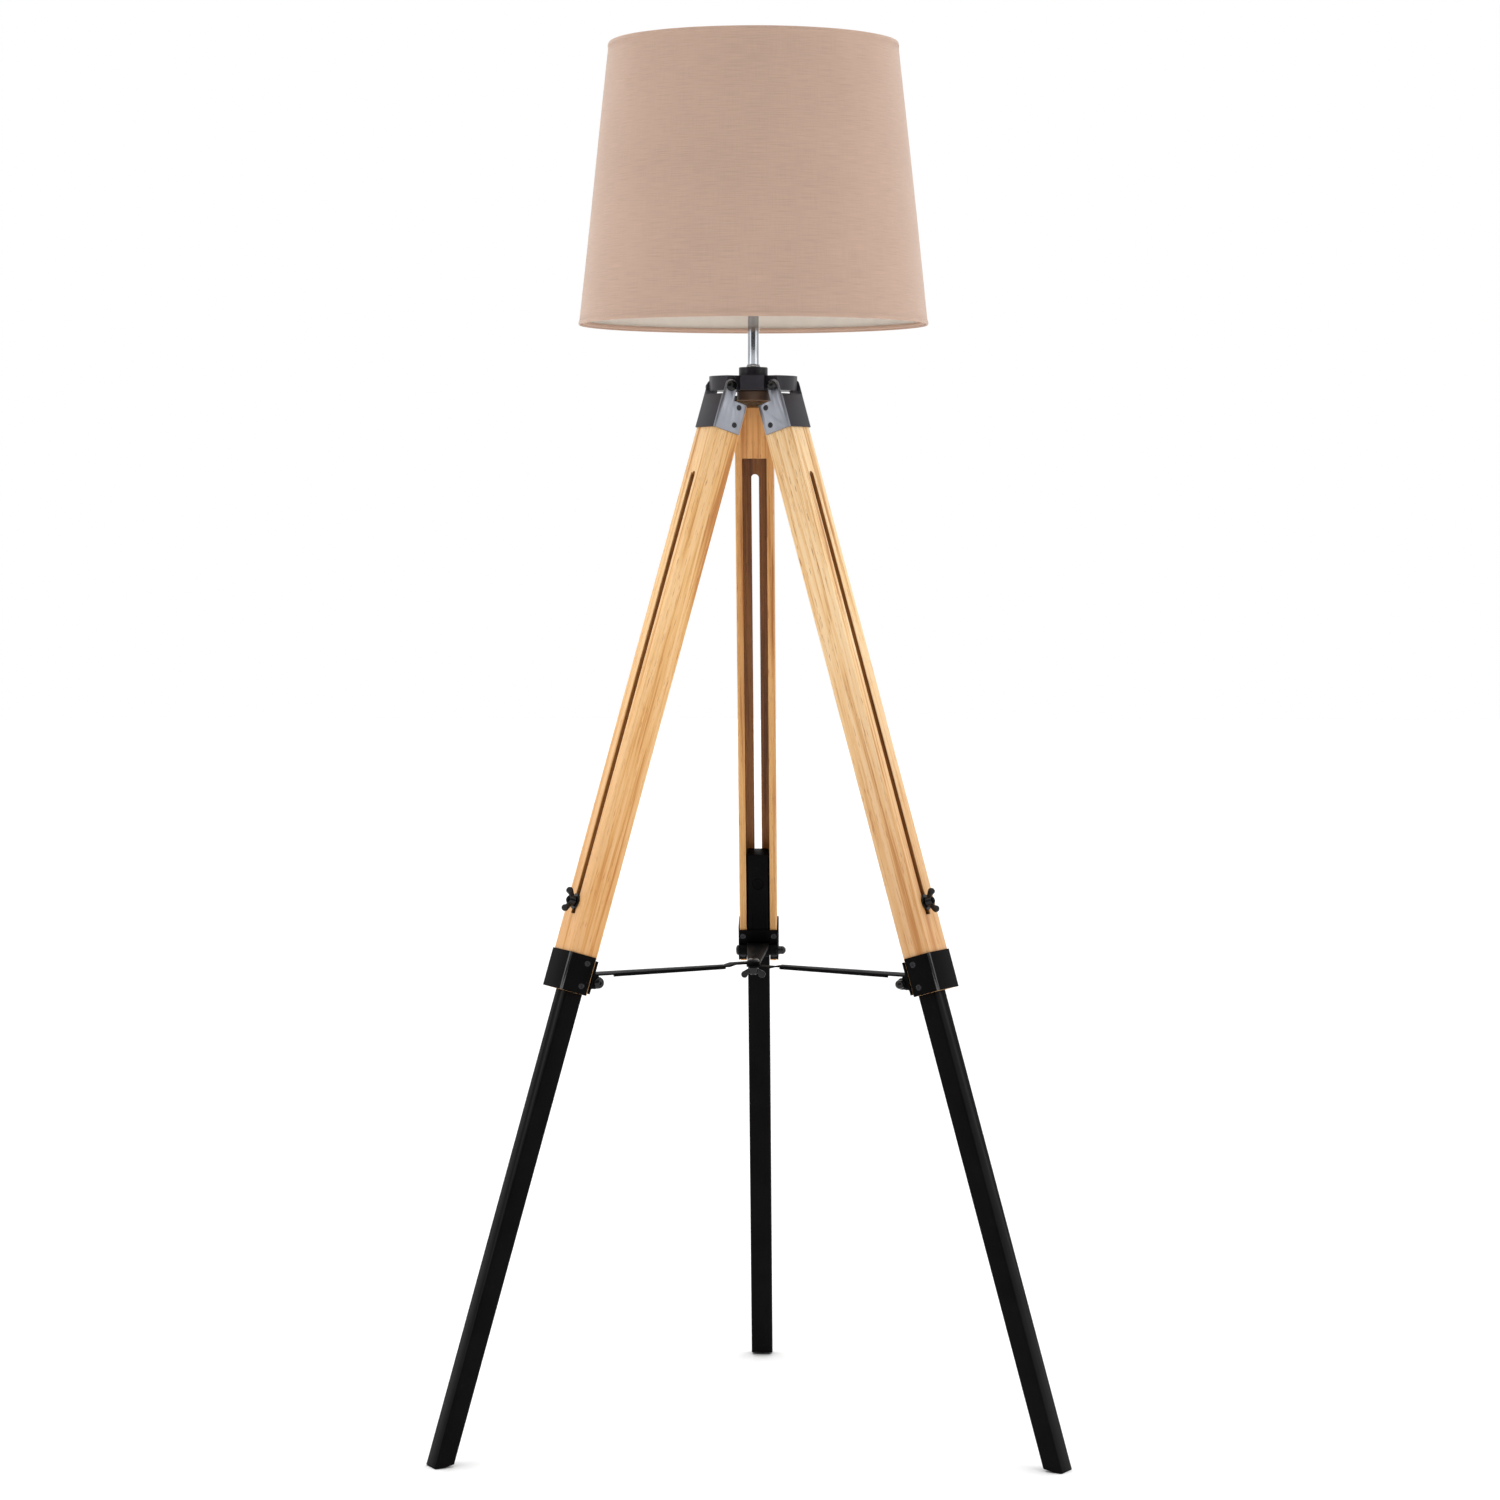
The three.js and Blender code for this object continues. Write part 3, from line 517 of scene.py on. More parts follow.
@dataclass(frozen=True)
class Weave:
    """Plain-woven cloth on a UV map in metres, with slubs along both threads."""

    name: str
    colour: Colour
    thread: float = 0.00085
    relief: float = 0.5
    relief_height: float = 0.00018
    sheen: float = 0.5
    sheen_roughness: float = 0.35
    sheen_tint: tuple[float, float, float, float] = (1.0, 0.94, 0.86, 1.0)
    slub_scale: float = 1300.0
    slub_squash: float = 0.03
    slub_height: float = 1.6
    weft_share: float = 0.75
    cloud_scale: float = 16.0
    cloud_share: float = 0.2
    darker: float = 0.90
    lighter: float = 1.09
    gap_share: float = 0.22
    gap_tint: float = 0.6

    def build(self) -> bpy.types.Material:
        """Wire the material.

        Returns:
            The material.
        """
        s = Shader(self.name)
        place = s.uv_place()
        turn = math.pi / self.thread
        warp = s.math("SINE", s.math("MULTIPLY", s.axis(place, "X"), turn))
        weft = s.math("SINE", s.math("MULTIPLY", s.axis(place, "Y"), turn))
        thread = s.math("ABSOLUTE", s.math("MULTIPLY", warp, weft))
        warp_slub = s.noise(s.scaled(place, (1.0, self.slub_squash, 1.0)), self.slub_scale, 2.0)
        weft_slub = s.noise(s.scaled(place, (self.slub_squash, 1.0, 1.0)), self.slub_scale, 2.0)
        slub = s.sum((warp_slub, 1 - self.weft_share), (weft_slub, self.weft_share))
        cloud = s.noise(place, self.cloud_scale, 3.0)
        tone = s.sum((slub, 1 - self.cloud_share), (cloud, self.cloud_share))
        low = tuple(c * self.darker for c in self.colour)
        high = tuple(min(1.0, c * self.lighter) for c in self.colour)
        colour = s.ramp(tone, [(0.36, low), (0.64, high)])
        gap = s.math("SUBTRACT", 1.0, s.span(thread, 0.0, 1.0, 0.0, 0.4))
        colour = s.mix(s.math("MULTIPLY", gap, self.gap_share), colour,
                       tuple(c * self.gap_tint for c in self.colour))
        s.feed("Base Color", colour)
        s.wear(slub, 0.82, 0.95)
        height = s.math("ADD", thread, s.math("MULTIPLY", slub, self.slub_height))
        s.feed("Normal", s.bump(height, self.relief, self.relief_height))
        s.feed("Sheen Weight", self.sheen)
        s.feed("Sheen Roughness", self.sheen_roughness)
        s.feed("Sheen Tint", self.sheen_tint)
        return s.material


@dataclass(frozen=True)
class Smooth:
    """A moulded, glazed or coated surface with slight unevenness."""

    name: str
    colour: Colour
    roughness: float
    ripple: float = 0.05
    scale: float = 120.0
    transmission: float = 0.0
    ripple_height: float = 0.0004
    darker: float = 0.95
    lighter: float = 1.04
    smoothest: float = 0.88
    roughest: float = 1.12

    def build(self) -> bpy.types.Material:
        """Wire the material.

        Returns:
            The material.
        """
        s = Shader(self.name)
        cloud = s.noise(s.object_place(), self.scale, 3.0)
        s.shade(cloud, self.colour, self.darker, self.lighter)
        s.wear(cloud, self.roughness * self.smoothest, self.roughness * self.roughest)
        s.feed("Normal", s.bump(cloud, self.ripple, self.ripple_height))
        s.feed("Transmission Weight", self.transmission)
        return s.material


class Finish(Enum):
    """The lamp's finishes, one for each material slot of the record and a few beside them."""

    FABRIC = Weave("shade_fabric", (0.555, 0.378, 0.290))
    LINER = Smooth("white_liner", (0.72, 0.66, 0.59), 0.6, 0.04, 60.0)
    WIRE = PaintedMetal("white_wire", (0.78, 0.76, 0.72), 0.35)
    CHROME = BareMetal("chrome", (0.37, 0.385, 0.41), 0.10, (1.0, 1.0, 0.05), 0.02)
    HUB = PaintedMetal("hub_metal", (0.023, 0.021, 0.027), 0.40, gloss=0.22)
    PLATE = BareMetal("bracket_steel", (0.27, 0.28, 0.315), 0.40, (1.0, 1.0, 0.06), 0.05, True)
    BLACK = PaintedMetal("black_metal", (0.0032, 0.0029, 0.0030), 0.46, gloss=0.02)
    BOLT = PaintedMetal("black_bolt", (0.0035, 0.0035, 0.004), 0.18, 0.05, 0.03, gloss=0.3)
    HEM = Smooth("hem_cloth", (0.50, 0.335, 0.255), 0.9, 0.3, 1400.0)
    # Painted highlight: a lighter, glossier copy of the black paint for the bends of the sleeves and strut plates.
    EDGE = PaintedMetal("black_bend_highlight", (0.010, 0.010, 0.011), 0.16, 0.06, 0.03, gloss=1.0)
    SCREW = BareMetal("screw_steel", (0.032, 0.032, 0.035), 0.34)
    BRONZE = PaintedMetal("bronzed_nut", (0.135, 0.080, 0.052), 0.55, gloss=0.3)
    STEEL = BareMetal("steel", (0.42, 0.43, 0.45), 0.34)
    # Each leg has its own copy of the wood. The back leg's much darker copy is painted shade, and foot= sets how
    # much painted shade darkens the left and right legs toward their feet.
    SHADED_WOOD_BACK = Timber("honey_wood_back_shaded", (0.70, 0.40, 0.155), (0.58, 0.29, 0.095),
                       (0.36, 0.135, 0.032), shift=0.31)
    WOOD_LEFT = Timber("honey_wood_left", (0.95, 0.63, 0.32), (0.85, 0.49, 0.18),
                       (0.55, 0.215, 0.05), shift=1.73, foot=0.5)
    WOOD_RIGHT = Timber("honey_wood_right", (0.97, 0.72, 0.43), (0.90, 0.58, 0.27),
                        (0.50, 0.21, 0.060), shift=2.91, foot=0.62)
    # Painted shade: a darker copy of the wood for the walls and floor of the channel and slot.
    ROUTED_SHADE = Timber("honey_wood_routed_shade", (0.36, 0.150, 0.038), (0.28, 0.108, 0.024),
                    (0.15, 0.052, 0.011), shift=5.2)
    BLACK_WOOD = PaintedTimber("black_wood", (0.0042, 0.0038, 0.0040))
    PLASTIC = Smooth("black_plastic", (0.012, 0.012, 0.013), 0.4, 0.08, 300.0)
    CERAMIC = Smooth("lampholder_ceramic", (0.78, 0.76, 0.70), 0.25)
    GLASS = Smooth("bulb_glass", (0.90, 0.89, 0.86), 0.28, 0.02, 80.0, 0.25)

    def material(self) -> bpy.types.Material:
        """The finish's material, built once.

        Returns:
            The material.
        """
        if self not in MADE:
            MADE[self] = self.value.build()
        return MADE[self]


MADE: dict[Finish, bpy.types.Material] = {}


# ------------------------------------------------------------------------------------------------
# Shapes
# ------------------------------------------------------------------------------------------------


def arc(centre: Point2, radius: float, start: float, end: float, steps: int) -> list[Point2]:
    """Points on a circular arc.

    Args:
        centre: The arc's centre.
        radius: Its radius.
        start: Its first angle, in degrees.
        end: Its last angle, in degrees.
        steps: How many chords it has.

    Returns:
        The points, both ends included.
    """
    angles = [math.radians(start + (end - start) * i / steps) for i in range(steps + 1)]
    return [(centre[0] + radius * math.cos(a), centre[1] + radius * math.sin(a)) for a in angles]


def rounded(outline: Sequence[Point2], radius: float, steps: int = 3) -> list[Point2]:
    """Round every corner of an open or closed outline's inner points.

    Args:
        outline: The corner points.
        radius: The most that a corner is rounded by.
        steps: Chords for each corner.

    Returns:
        The outline with its corners as short curves. The two end points stay.
    """
    points: list[Point2] = [outline[0]]
    for before, corner, after in zip(outline, outline[1:], outline[2:]):
        a, b, c = Vector(before), Vector(corner), Vector(after)
        reach = min(radius, (a - b).length * 0.45, (c - b).length * 0.45)
        p, q = b + (a - b).normalized() * reach, b + (c - b).normalized() * reach
        for i in range(steps + 1):
            t = i / steps
            at = p * (1 - t) ** 2 + b * 2 * t * (1 - t) + q * t ** 2
            points.append((at.x, at.y))
    points.append(outline[-1])
    return points


def turned(profile: Sequence[Point2], segments: int = 48) -> bmesh.types.BMesh:
    """A body of revolution about Z.

    Args:
        profile: Points of (radius, z) that start and end on the axis, or close on themselves.
        segments: Facets around.

    Returns:
        The mesh, with its faces pointing out.
    """
    bm = bmesh.new()
    rings: list[list[bmesh.types.BMVert]] = []
    closed = profile[0] == profile[-1]
    for radius, z in profile[:-1] if closed else profile:
        if radius < MERGE:
            rings.append([bm.verts.new((0, 0, z))])
            continue
        angles = [FULL_TURN * i / segments for i in range(segments)]
        rings.append([bm.verts.new((radius * math.cos(a), radius * math.sin(a), z)) for a in angles])
    pairs = list(zip(rings, rings[1:] + rings[:1] if closed else rings[1:]))
    for low, high in pairs:
        for i in range(segments):
            j = (i + 1) % segments
            corners = [low[i % len(low)], low[j % len(low)], high[j % len(high)], high[i % len(high)]]
            unique = list(dict.fromkeys(corners))
            if len(unique) > 2:
                bm.faces.new(unique)
    bmesh.ops.recalc_face_normals(bm, faces=bm.faces)
    return bm


def prism(outline: Sequence[Point2], low: float, high: float, axis: str = "z") -> bmesh.types.BMesh:
    """A straight prism.

    Args:
        outline: Corner points in XY for axis z, XZ for axis y and YZ for axis x.
        low: Where it starts along the axis.
        high: Where it ends.
        axis: The letter of its axis.

    Returns:
        The mesh, with its faces pointing out.
    """
    lift = {
        "z": lambda a, b, h: (a, b, h),
        "y": lambda a, b, h: (a, h, b),
        "x": lambda a, b, h: (h, a, b),
    }[axis]
    bm = bmesh.new()
    bottom = [bm.verts.new(lift(a, b, low)) for a, b in outline]
    top = [bm.verts.new(lift(a, b, high)) for a, b in outline]
    bm.faces.new(bottom)
    bm.faces.new(top)
    count = len(outline)
    for i in range(count):
        j = (i + 1) % count
        bm.faces.new((bottom[i], bottom[j], top[j], top[i]))
    bmesh.ops.recalc_face_normals(bm, faces=bm.faces)
    return bm


def moved(bm: bmesh.types.BMesh, matrix: Matrix) -> bmesh.types.BMesh:
    """The same mesh after a transform.

    Args:
        bm: The mesh.
        matrix: The transform.

    Returns:
        The mesh.
    """
    bmesh.ops.transform(bm, matrix=matrix, verts=bm.verts)
    return bm


def along_x(x: float, y: float, z: float) -> Matrix:
    """Turns a body's Z axis to X and moves it to a place.

    Args:
        x: The place along X.
        y: The place along Y.
        z: The place along Z.

    Returns:
        The transform.
    """
    return Matrix.Translation((x, y, z)) @ Matrix.Rotation(math.radians(90), 4, "Y")


def along_y(x: float, y: float, z: float) -> Matrix:
    """Turns a body's Z axis to Y and moves it to a place.

    Args:
        x: The place along X.
        y: The place along Y.
        z: The place along Z.

    Returns:
        The transform.
    """
    return Matrix.Translation((x, y, z)) @ Matrix.Rotation(math.radians(-90), 4, "X")


def tube(inner: float, outer: float, low: float, high: float) -> list[Point2]:
    """The section of a straight tube, for a body of revolution.

    Args:
        inner: The bore's radius.
        outer: The outer radius.
        low: Where it starts.
        high: Where it ends.

    Returns:
        The closed outline.
    """
    return [(inner, low), (outer, low), (outer, high), (inner, high), (inner, low)]


def dome(radius: float, height: float, base: float, steps: int) -> list[Point2]:
    """The section of a dome that ends on the axis.

    Args:
        radius: The radius of its foot.
        height: How high it rises.
        base: Where its foot is.
        steps: How many chords it has.

    Returns:
        The points from the foot to the axis.
    """
    points = [(radius * x, base + height * y) for x, y in arc((0, 0), 1, 0, 90, steps)]
    return [*points[:-1], (0.0, points[-1][1])]


def joined(*parts: bmesh.types.BMesh) -> bmesh.types.BMesh:
    """Several meshes in one, each kept as its own closed skin.

    Args:
        *parts: The meshes, which are used up.

    Returns:
        The joined mesh.
    """
    whole = bmesh.new()
    for part in parts:
        copy = bpy.data.meshes.new("part")
        part.to_mesh(copy)
        part.free()
        whole.from_mesh(copy)
        bpy.data.meshes.remove(copy)
    return whole


class Piece:
    """One visible piece on its way from a mesh to a dressed object on a body."""

    def __init__(self, name: str, bm: bmesh.types.BMesh, place: Matrix = Matrix.Identity(4)) -> None:
        """Make the object from a mesh in its own frame.

        Args:
            name: The piece's name.
            bm: Its mesh, which is used up.
            place: The frame that the mesh is in.
        """
        mesh = bpy.data.meshes.new(name)
        bm.to_mesh(mesh)
        bm.free()
        self.local = place
        self.object = bpy.data.objects.new(name, mesh)
        bpy.context.scene.collection.objects.link(self.object)
        mesh.transform(place)

    def remember_place(self) -> "Piece":
        """Store each point's place in the piece's own frame, for patterns that follow it.

        Returns:
            The piece.
        """
        inverse = self.local.inverted()
        mesh = self.object.data
        attribute = mesh.attributes.get(PLACE) or mesh.attributes.new(PLACE, "FLOAT_VECTOR", "POINT")
        values = [c for vertex in mesh.vertices for c in inverse @ vertex.co]
        attribute.data.foreach_set("vector", values)
        return self

    def paint(self, chosen: Callable[[Vector, Vector], bool]) -> "Piece":
        """Give the piece's second finish to some of its faces.

        Args:
            chosen: Says of a face's middle and normal, in the piece's own frame, whether it is one.

        Returns:
            The piece.
        """
        inverse = self.local.inverted()
        turn = inverse.to_3x3()
        for face in self.object.data.polygons:
            face.material_index = int(chosen(inverse @ face.center, turn @ face.normal))
        return self

    def cut(self, *tools: bmesh.types.BMesh) -> "Piece":
        """Cut the piece by others.

        Args:
            *tools: Meshes in the piece's own frame, which are used up.

        Returns:
            The piece.
        """
        cutters = []
        for index, tool in enumerate(tools):
            cutter = Piece(f"{self.object.name}_tool{index}", tool, self.local).object
            modifier = self.object.modifiers.new("cut", "BOOLEAN")
            modifier.operation = "DIFFERENCE"
            modifier.solver = "EXACT"
            modifier.object = cutter
            cutters.append(cutter)
        self.apply()
        for cutter in cutters:
            bpy.data.objects.remove(cutter, do_unlink=True)
        return self

    def apply(self) -> "Piece":
        """Turn the modifiers' result into the piece's mesh.

        Returns:
            The piece.
        """
        evaluated = self.object.evaluated_get(bpy.context.evaluated_depsgraph_get())
        mesh = bpy.data.meshes.new_from_object(evaluated)
        old = self.object.data
        self.object.modifiers.clear()
        self.object.data = mesh
        mesh.name = old.name
        bpy.data.meshes.remove(old)
        return self

    def cast(self, voxel: float, rounds: int) -> "Piece":
        """Melt joined solids into one skin with soft corners, as a casting has.

        Args:
            voxel: The size of the mesh's cells.
            rounds: How many times the skin is smoothed.

        Returns:
            The piece.
        """
        remesh = self.object.modifiers.new("melt", "REMESH")
        remesh.mode = "VOXEL"
        remesh.voxel_size = voxel
        soft = self.object.modifiers.new("soften", "SMOOTH")
        soft.factor = 0.5
        soft.iterations = rounds
        self.apply()
        self.object.data.shade_smooth()
        return self

    def edges(self, width: float, segments: int = 2, angle: float = 30.0) -> "Piece":
        """Ease the sharp edges and shade the rest smooth.

        Args:
            width: The width of an eased edge.
            segments: Facets across it.
            angle: The least angle of an edge that is eased, in degrees.

        Returns:
            The piece.
        """
        bm = bmesh.new()
        bm.from_mesh(self.object.data)
        bmesh.ops.remove_doubles(bm, verts=bm.verts, dist=MERGE)
        bmesh.ops.dissolve_limit(bm, angle_limit=math.radians(1.0), verts=bm.verts, edges=bm.edges)
        bm.to_mesh(self.object.data)
        bm.free()
        bevel = self.object.modifiers.new("ease", "BEVEL")
        bevel.width = width
        bevel.segments = segments
        bevel.limit_method = "ANGLE"
        bevel.angle_limit = math.radians(angle)
        bevel.miter_outer = "MITER_ARC"
        self.apply()
        return self.smooth()

    def smooth(self, angle: float = SHARP) -> "Piece":
        """Shade smooth, with creases kept where faces meet sharply.

        Args:
            angle: The least angle of a crease, in radians.

        Returns:
            The piece.
        """
        mesh = self.object.data
        mesh.shade_smooth()
        mesh.set_sharp_from_angle(angle=angle)
        return self

    def dress(self, *finishes: Finish) -> "Piece":
        """Give the piece its materials, in the order of its slots.

        Args:
            *finishes: The finishes.

        Returns:
            The piece.
        """
        self.object.data.materials.clear()
        for finish in finishes:
            self.object.data.materials.append(finish.material())
        return self

    def mount(self, body: str, slot: str, *nodes: str) -> bpy.types.Object:
        """Hand the finished piece to the frame.

        Args:
            body: The body it moves with.
            slot: The record's material slot; not used.
            *nodes: The nodes it stands for.

        Returns:
            The object.
        """
        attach(self.object, body)
        if nodes:
            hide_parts(*nodes)
        LOG.info("%s: %d faces on %s", self.object.name, len(self.object.data.polygons), body)
        return self.object


def refined(name: str, node: str, place: Matrix) -> Piece:
    """A merged copy of a node's mesh, ready for eased edges.

    Args:
        name: The new piece's name.
        node: The node to copy.
        place: The frame that the piece's patterns follow.

    Returns:
        The piece.
    """
    bm = bmesh.new()
    bm.from_mesh(frame["nodes"][node].data)
    for layer in list(bm.loops.layers.uv.values()):
        bm.loops.layers.uv.remove(layer)
    bmesh.ops.remove_doubles(bm, verts=bm.verts, dist=MERGE)
    bmesh.ops.transform(bm, matrix=place.inverted(), verts=bm.verts)
    return Piece(name, bm, place)


# ------------------------------------------------------------------------------------------------
# Geometry Nodes
# ------------------------------------------------------------------------------------------------


class NodeMaker:
    """A Geometry Nodes tree with named inputs, built in code."""

    def __init__(self, name: str) -> None:
        """Start a tree that takes and gives geometry.

        Args:
            name: The tree's name.
        """
        self.tree = bpy.data.node_groups.new(name, "GeometryNodeTree")
        self.tree.is_modifier = True
        self.sockets: dict[str, str] = {}
        self.tree.interface.new_socket("Geometry", in_out="INPUT", socket_type="NodeSocketGeometry")
        self.tree.interface.new_socket("Geometry", in_out="OUTPUT", socket_type="NodeSocketGeometry")
        self.entry = self.tree.nodes.new("NodeGroupInput")
        self.exit = self.tree.nodes.new("NodeGroupOutput")

    def size(self, name: str, value: float) -> bpy.types.NodeSocket:
        """A named size input with its default.

        Args:
            name: The input's name.
            value: Its default, in metres.

        Returns:
            The socket that gives it inside the tree.
        """
        socket = self.tree.interface.new_socket(name, in_out="INPUT", socket_type="NodeSocketFloat")
        socket.default_value = value
        self.sockets[name] = socket.identifier
        return self.entry.outputs[name]

    def finish_input(self) -> bpy.types.NodeSocket:
        """The named material input.

        Returns:
            The socket that gives it inside the tree.
        """
        socket = self.tree.interface.new_socket("Finish", in_out="INPUT", socket_type="NodeSocketMaterial")
        self.sockets["Finish"] = socket.identifier
        return self.entry.outputs["Finish"]

    def add(self, kind: str, links: Optional[dict] = None, **settings: object) -> bpy.types.Node:
        """A node with its inputs linked or set.

        Args:
            kind: The node's type.
            links: Input name or number to a socket or value.
            **settings: The node's own properties.

        Returns:
            The node.
        """
        node = self.tree.nodes.new(kind)
        for key, value in settings.items():
            setattr(node, key, value)
        for key, value in (links or {}).items():
            socket = node.inputs[key]
            if isinstance(value, bpy.types.NodeSocket):
                self.tree.links.new(value, socket)
            else:
                socket.default_value = value
        return node

    def end(self, geometry: bpy.types.NodeSocket, finish: bpy.types.NodeSocket) -> None:
        """Realise the instances, set the material and give the result.

        Args:
            geometry: What the tree made.
            finish: Its material.
        """
        real = self.add("GeometryNodeRealizeInstances", {"Geometry": geometry})
        paint = self.add("GeometryNodeSetMaterial", {"Geometry": real.outputs[0], "Material": finish})
        self.tree.links.new(paint.outputs[0], self.exit.inputs["Geometry"])

    def run(self, name: str, seed: bpy.types.Mesh, finish: Finish, **sizes: float) -> Piece:
        """Run the tree on a mesh and keep the result as a plain piece.

        Args:
            name: The new piece's name.
            seed: The points or lines that the tree works on, in the row frame.
            finish: The finish to set.
            **sizes: Named sizes, with underscores for spaces.

        Returns:
            The piece, with no modifier left.
        """
        carrier = bpy.data.objects.new(f"{name}_seed", seed)
        bpy.context.scene.collection.objects.link(carrier)
        modifier = carrier.modifiers.new("grow", "NODES")
        modifier.node_group = self.tree
        modifier[self.sockets["Finish"]] = finish.material()
        for key, value in sizes.items():
            modifier[self.sockets[key.replace("_", " ")]] = value
        evaluated = carrier.evaluated_get(bpy.context.evaluated_depsgraph_get())
        mesh = bpy.data.meshes.new_from_object(evaluated)
        bm = bmesh.new()
        bm.from_mesh(mesh)
        bpy.data.objects.remove(carrier, do_unlink=True)
        bpy.data.meshes.remove(mesh)
        piece = Piece(name, bm)
        piece.dress(finish)
        return piece


@dataclass(frozen=True)
class ScrewHead:
    """A countersunk cross-head screw's sizes, and how its recess is turned."""

    radius: float = 0.003
    foot: float = 0.0016
    depth: float = 0.001
    slot_length: float = 0.0034
    slot_width: float = 0.0008
    slot_depth: float = 0.0012
    sides: int = 28
    most_turn: float = 1.5
    seed: int = 7

    def tree(self) -> NodeMaker:
        """A tree that sets a screw at every point, facing the way that the point says.

        Returns:
            The tree.
        """
        maker = NodeMaker("countersunk_screws")
        radius = maker.size("head radius", self.radius)
        depth = maker.size("head depth", self.depth)
        finish = maker.finish_input()
        head = maker.add("GeometryNodeMeshCone", {
            "Vertices": self.sides, "Radius Top": radius, "Radius Bottom": self.foot, "Depth": depth})
        down = maker.add("ShaderNodeMath", {0: depth, 1: -1.0}, operation="MULTIPLY")
        drop = maker.add("ShaderNodeCombineXYZ", {"Z": down.outputs[0]})
        seated = maker.add("GeometryNodeTransform", {
            "Geometry": head.outputs["Mesh"], "Translation": drop.outputs[0]})
        recess = maker.add("GeometryNodeMeshBoolean", operation="DIFFERENCE", solver="EXACT")
        maker.tree.links.new(seated.outputs[0], recess.inputs["Mesh 1"])
        for length, width in ((self.slot_length, self.slot_width), (self.slot_width, self.slot_length)):
            slot = maker.add("GeometryNodeMeshCube", {"Size": (length, width, self.slot_depth)})
            maker.tree.links.new(slot.outputs["Mesh"], recess.inputs["Mesh 2"])
        points = maker.add("GeometryNodeMeshToPoints", {"Mesh": maker.entry.outputs["Geometry"]})
        facing = maker.add("GeometryNodeInputNamedAttribute", {"Name": "facing"}, data_type="FLOAT_VECTOR")
        aim = maker.add("FunctionNodeAlignRotationToVector", {"Vector": facing.outputs["Attribute"]},
                        axis="Z")
        twist = maker.add("FunctionNodeRandomValue", {"Min": 0.0, "Max": self.most_turn, "Seed": self.seed},
                          data_type="FLOAT")
        spin = maker.add("FunctionNodeAxisAngleToRotation", {"Axis": (0, 0, 1)})
        maker.tree.links.new(next(o for o in twist.outputs if o.enabled), spin.inputs["Angle"])
        turn = maker.add("FunctionNodeRotateRotation", {0: aim.outputs[0], 1: spin.outputs[0]},
                         rotation_space="LOCAL")
        placed = maker.add("GeometryNodeInstanceOnPoints", {
            "Points": points.outputs[0], "Instance": recess.outputs["Mesh"], "Rotation": turn.outputs[0]})
        maker.end(placed.outputs[0], finish)
        return maker


def wire_tree(sides: int = 14, bend_steps: int = 5) -> NodeMaker:
    """A tree that sweeps a round wire along every line of a mesh, with eased bends.

    Args:
        sides: Facets around the wire.
        bend_steps: Points in each bend.

    Returns:
        The tree.
    """
    maker = NodeMaker("bent_wire")
    radius = maker.size("wire radius", 0.0018)
    bend = maker.size("bend radius", 0.006)
    finish = maker.finish_input()
    lines = maker.add("GeometryNodeMeshToCurve", {"Mesh": maker.entry.outputs["Geometry"]})
    fillet = maker.add("GeometryNodeFilletCurve", {"Curve": lines.outputs[0], "Radius": bend})
    if "Mode" in fillet.inputs:
        fillet.inputs["Mode"].default_value = "Poly"
    else:
        fillet.mode = "POLY"
    fillet.inputs["Count"].default_value = bend_steps
    section = maker.add("GeometryNodeCurvePrimitiveCircle", {"Resolution": sides, "Radius": radius})
    sweep = maker.add("GeometryNodeCurveToMesh", {
        "Curve": fillet.outputs[0], "Profile Curve": section.outputs[0], "Fill Caps": True})
    maker.end(sweep.outputs[0], finish)
    return maker


def rib_tree(sides: int = 8) -> NodeMaker:
    """A tree that sets an upright rounded rib at every point.

    Args:
        sides: Facets around a rib.

    Returns:
        The tree.
    """
    maker = NodeMaker("grip_ribs")
    height = maker.size("rib height", 0.005)
    radius = maker.size("rib radius", 0.0007)
    finish = maker.finish_input()
    rib = maker.add("GeometryNodeMeshCylinder", {"Vertices": sides, "Radius": radius, "Depth": height})
    points = maker.add("GeometryNodeMeshToPoints", {"Mesh": maker.entry.outputs["Geometry"]})
    placed = maker.add("GeometryNodeInstanceOnPoints", {
        "Points": points.outputs[0], "Instance": rib.outputs["Mesh"]})
    maker.end(placed.outputs[0], finish)
    return maker


def point_mesh(points: Iterable[Vector], facing: Optional[Iterable[Vector]] = None) -> bpy.types.Mesh:
    """A mesh of loose points.

    Args:
        points: The points, in the row frame.
        facing: Which way each one faces.

    Returns:
        The mesh.
    """
    mesh = bpy.data.meshes.new("points")
    mesh.from_pydata([tuple(p) for p in points], [], [])
    if facing is not None:
        attribute = mesh.attributes.new("facing", "FLOAT_VECTOR", "POINT")
        attribute.data.foreach_set("vector", [c for f in facing for c in f])
    return mesh


def line_mesh(lines: Iterable[Sequence[Vector]], closed: bool = False) -> bpy.types.Mesh:
    """A mesh of edges along each run of points.

    Args:
        lines: The runs of points, in the row frame.
        closed: Whether each run ends where it starts.

    Returns:
        The mesh.
    """
    points: list[tuple[float, ...]] = []
    edges: list[tuple[int, int]] = []
    for line in lines:
        first = len(points)
        points.extend(tuple(p) for p in line)
        edges.extend((first + i, first + i + 1) for i in range(len(line) - 1))
        if closed:
            edges.append((len(points) - 1, first))
    mesh = bpy.data.meshes.new("lines")
    mesh.from_pydata(points, edges, [])
    return mesh


def circle(radius: float, z: float, count: int) -> list[Vector]:
    """Points around the lamp's axis.

    Args:
        radius: The circle's radius.
        z: Its height.
        count: How many points it has.

    Returns:
        The points.
    """
    angles = (FULL_TURN * i / count for i in range(count))
    return [lamp_axis() + Vector((radius * math.cos(a), radius * math.sin(a), z)) for a in angles]


def lamp_axis() -> Vector:
    """The point under the stem, on the floor.

    Returns:
        The point.
    """
    low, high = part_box("stem_tube")
    return Vector(((low.x + high.x) / 2, (low.y + high.y) / 2, 0.0))


def on_axis(z: float = 0.0) -> Matrix:
    """The frame of a piece that stands on the lamp's axis.

    Args:
        z: The piece's height.

    Returns:
        The frame.
    """
    return Matrix.Translation(lamp_axis() + Vector((0, 0, z)))


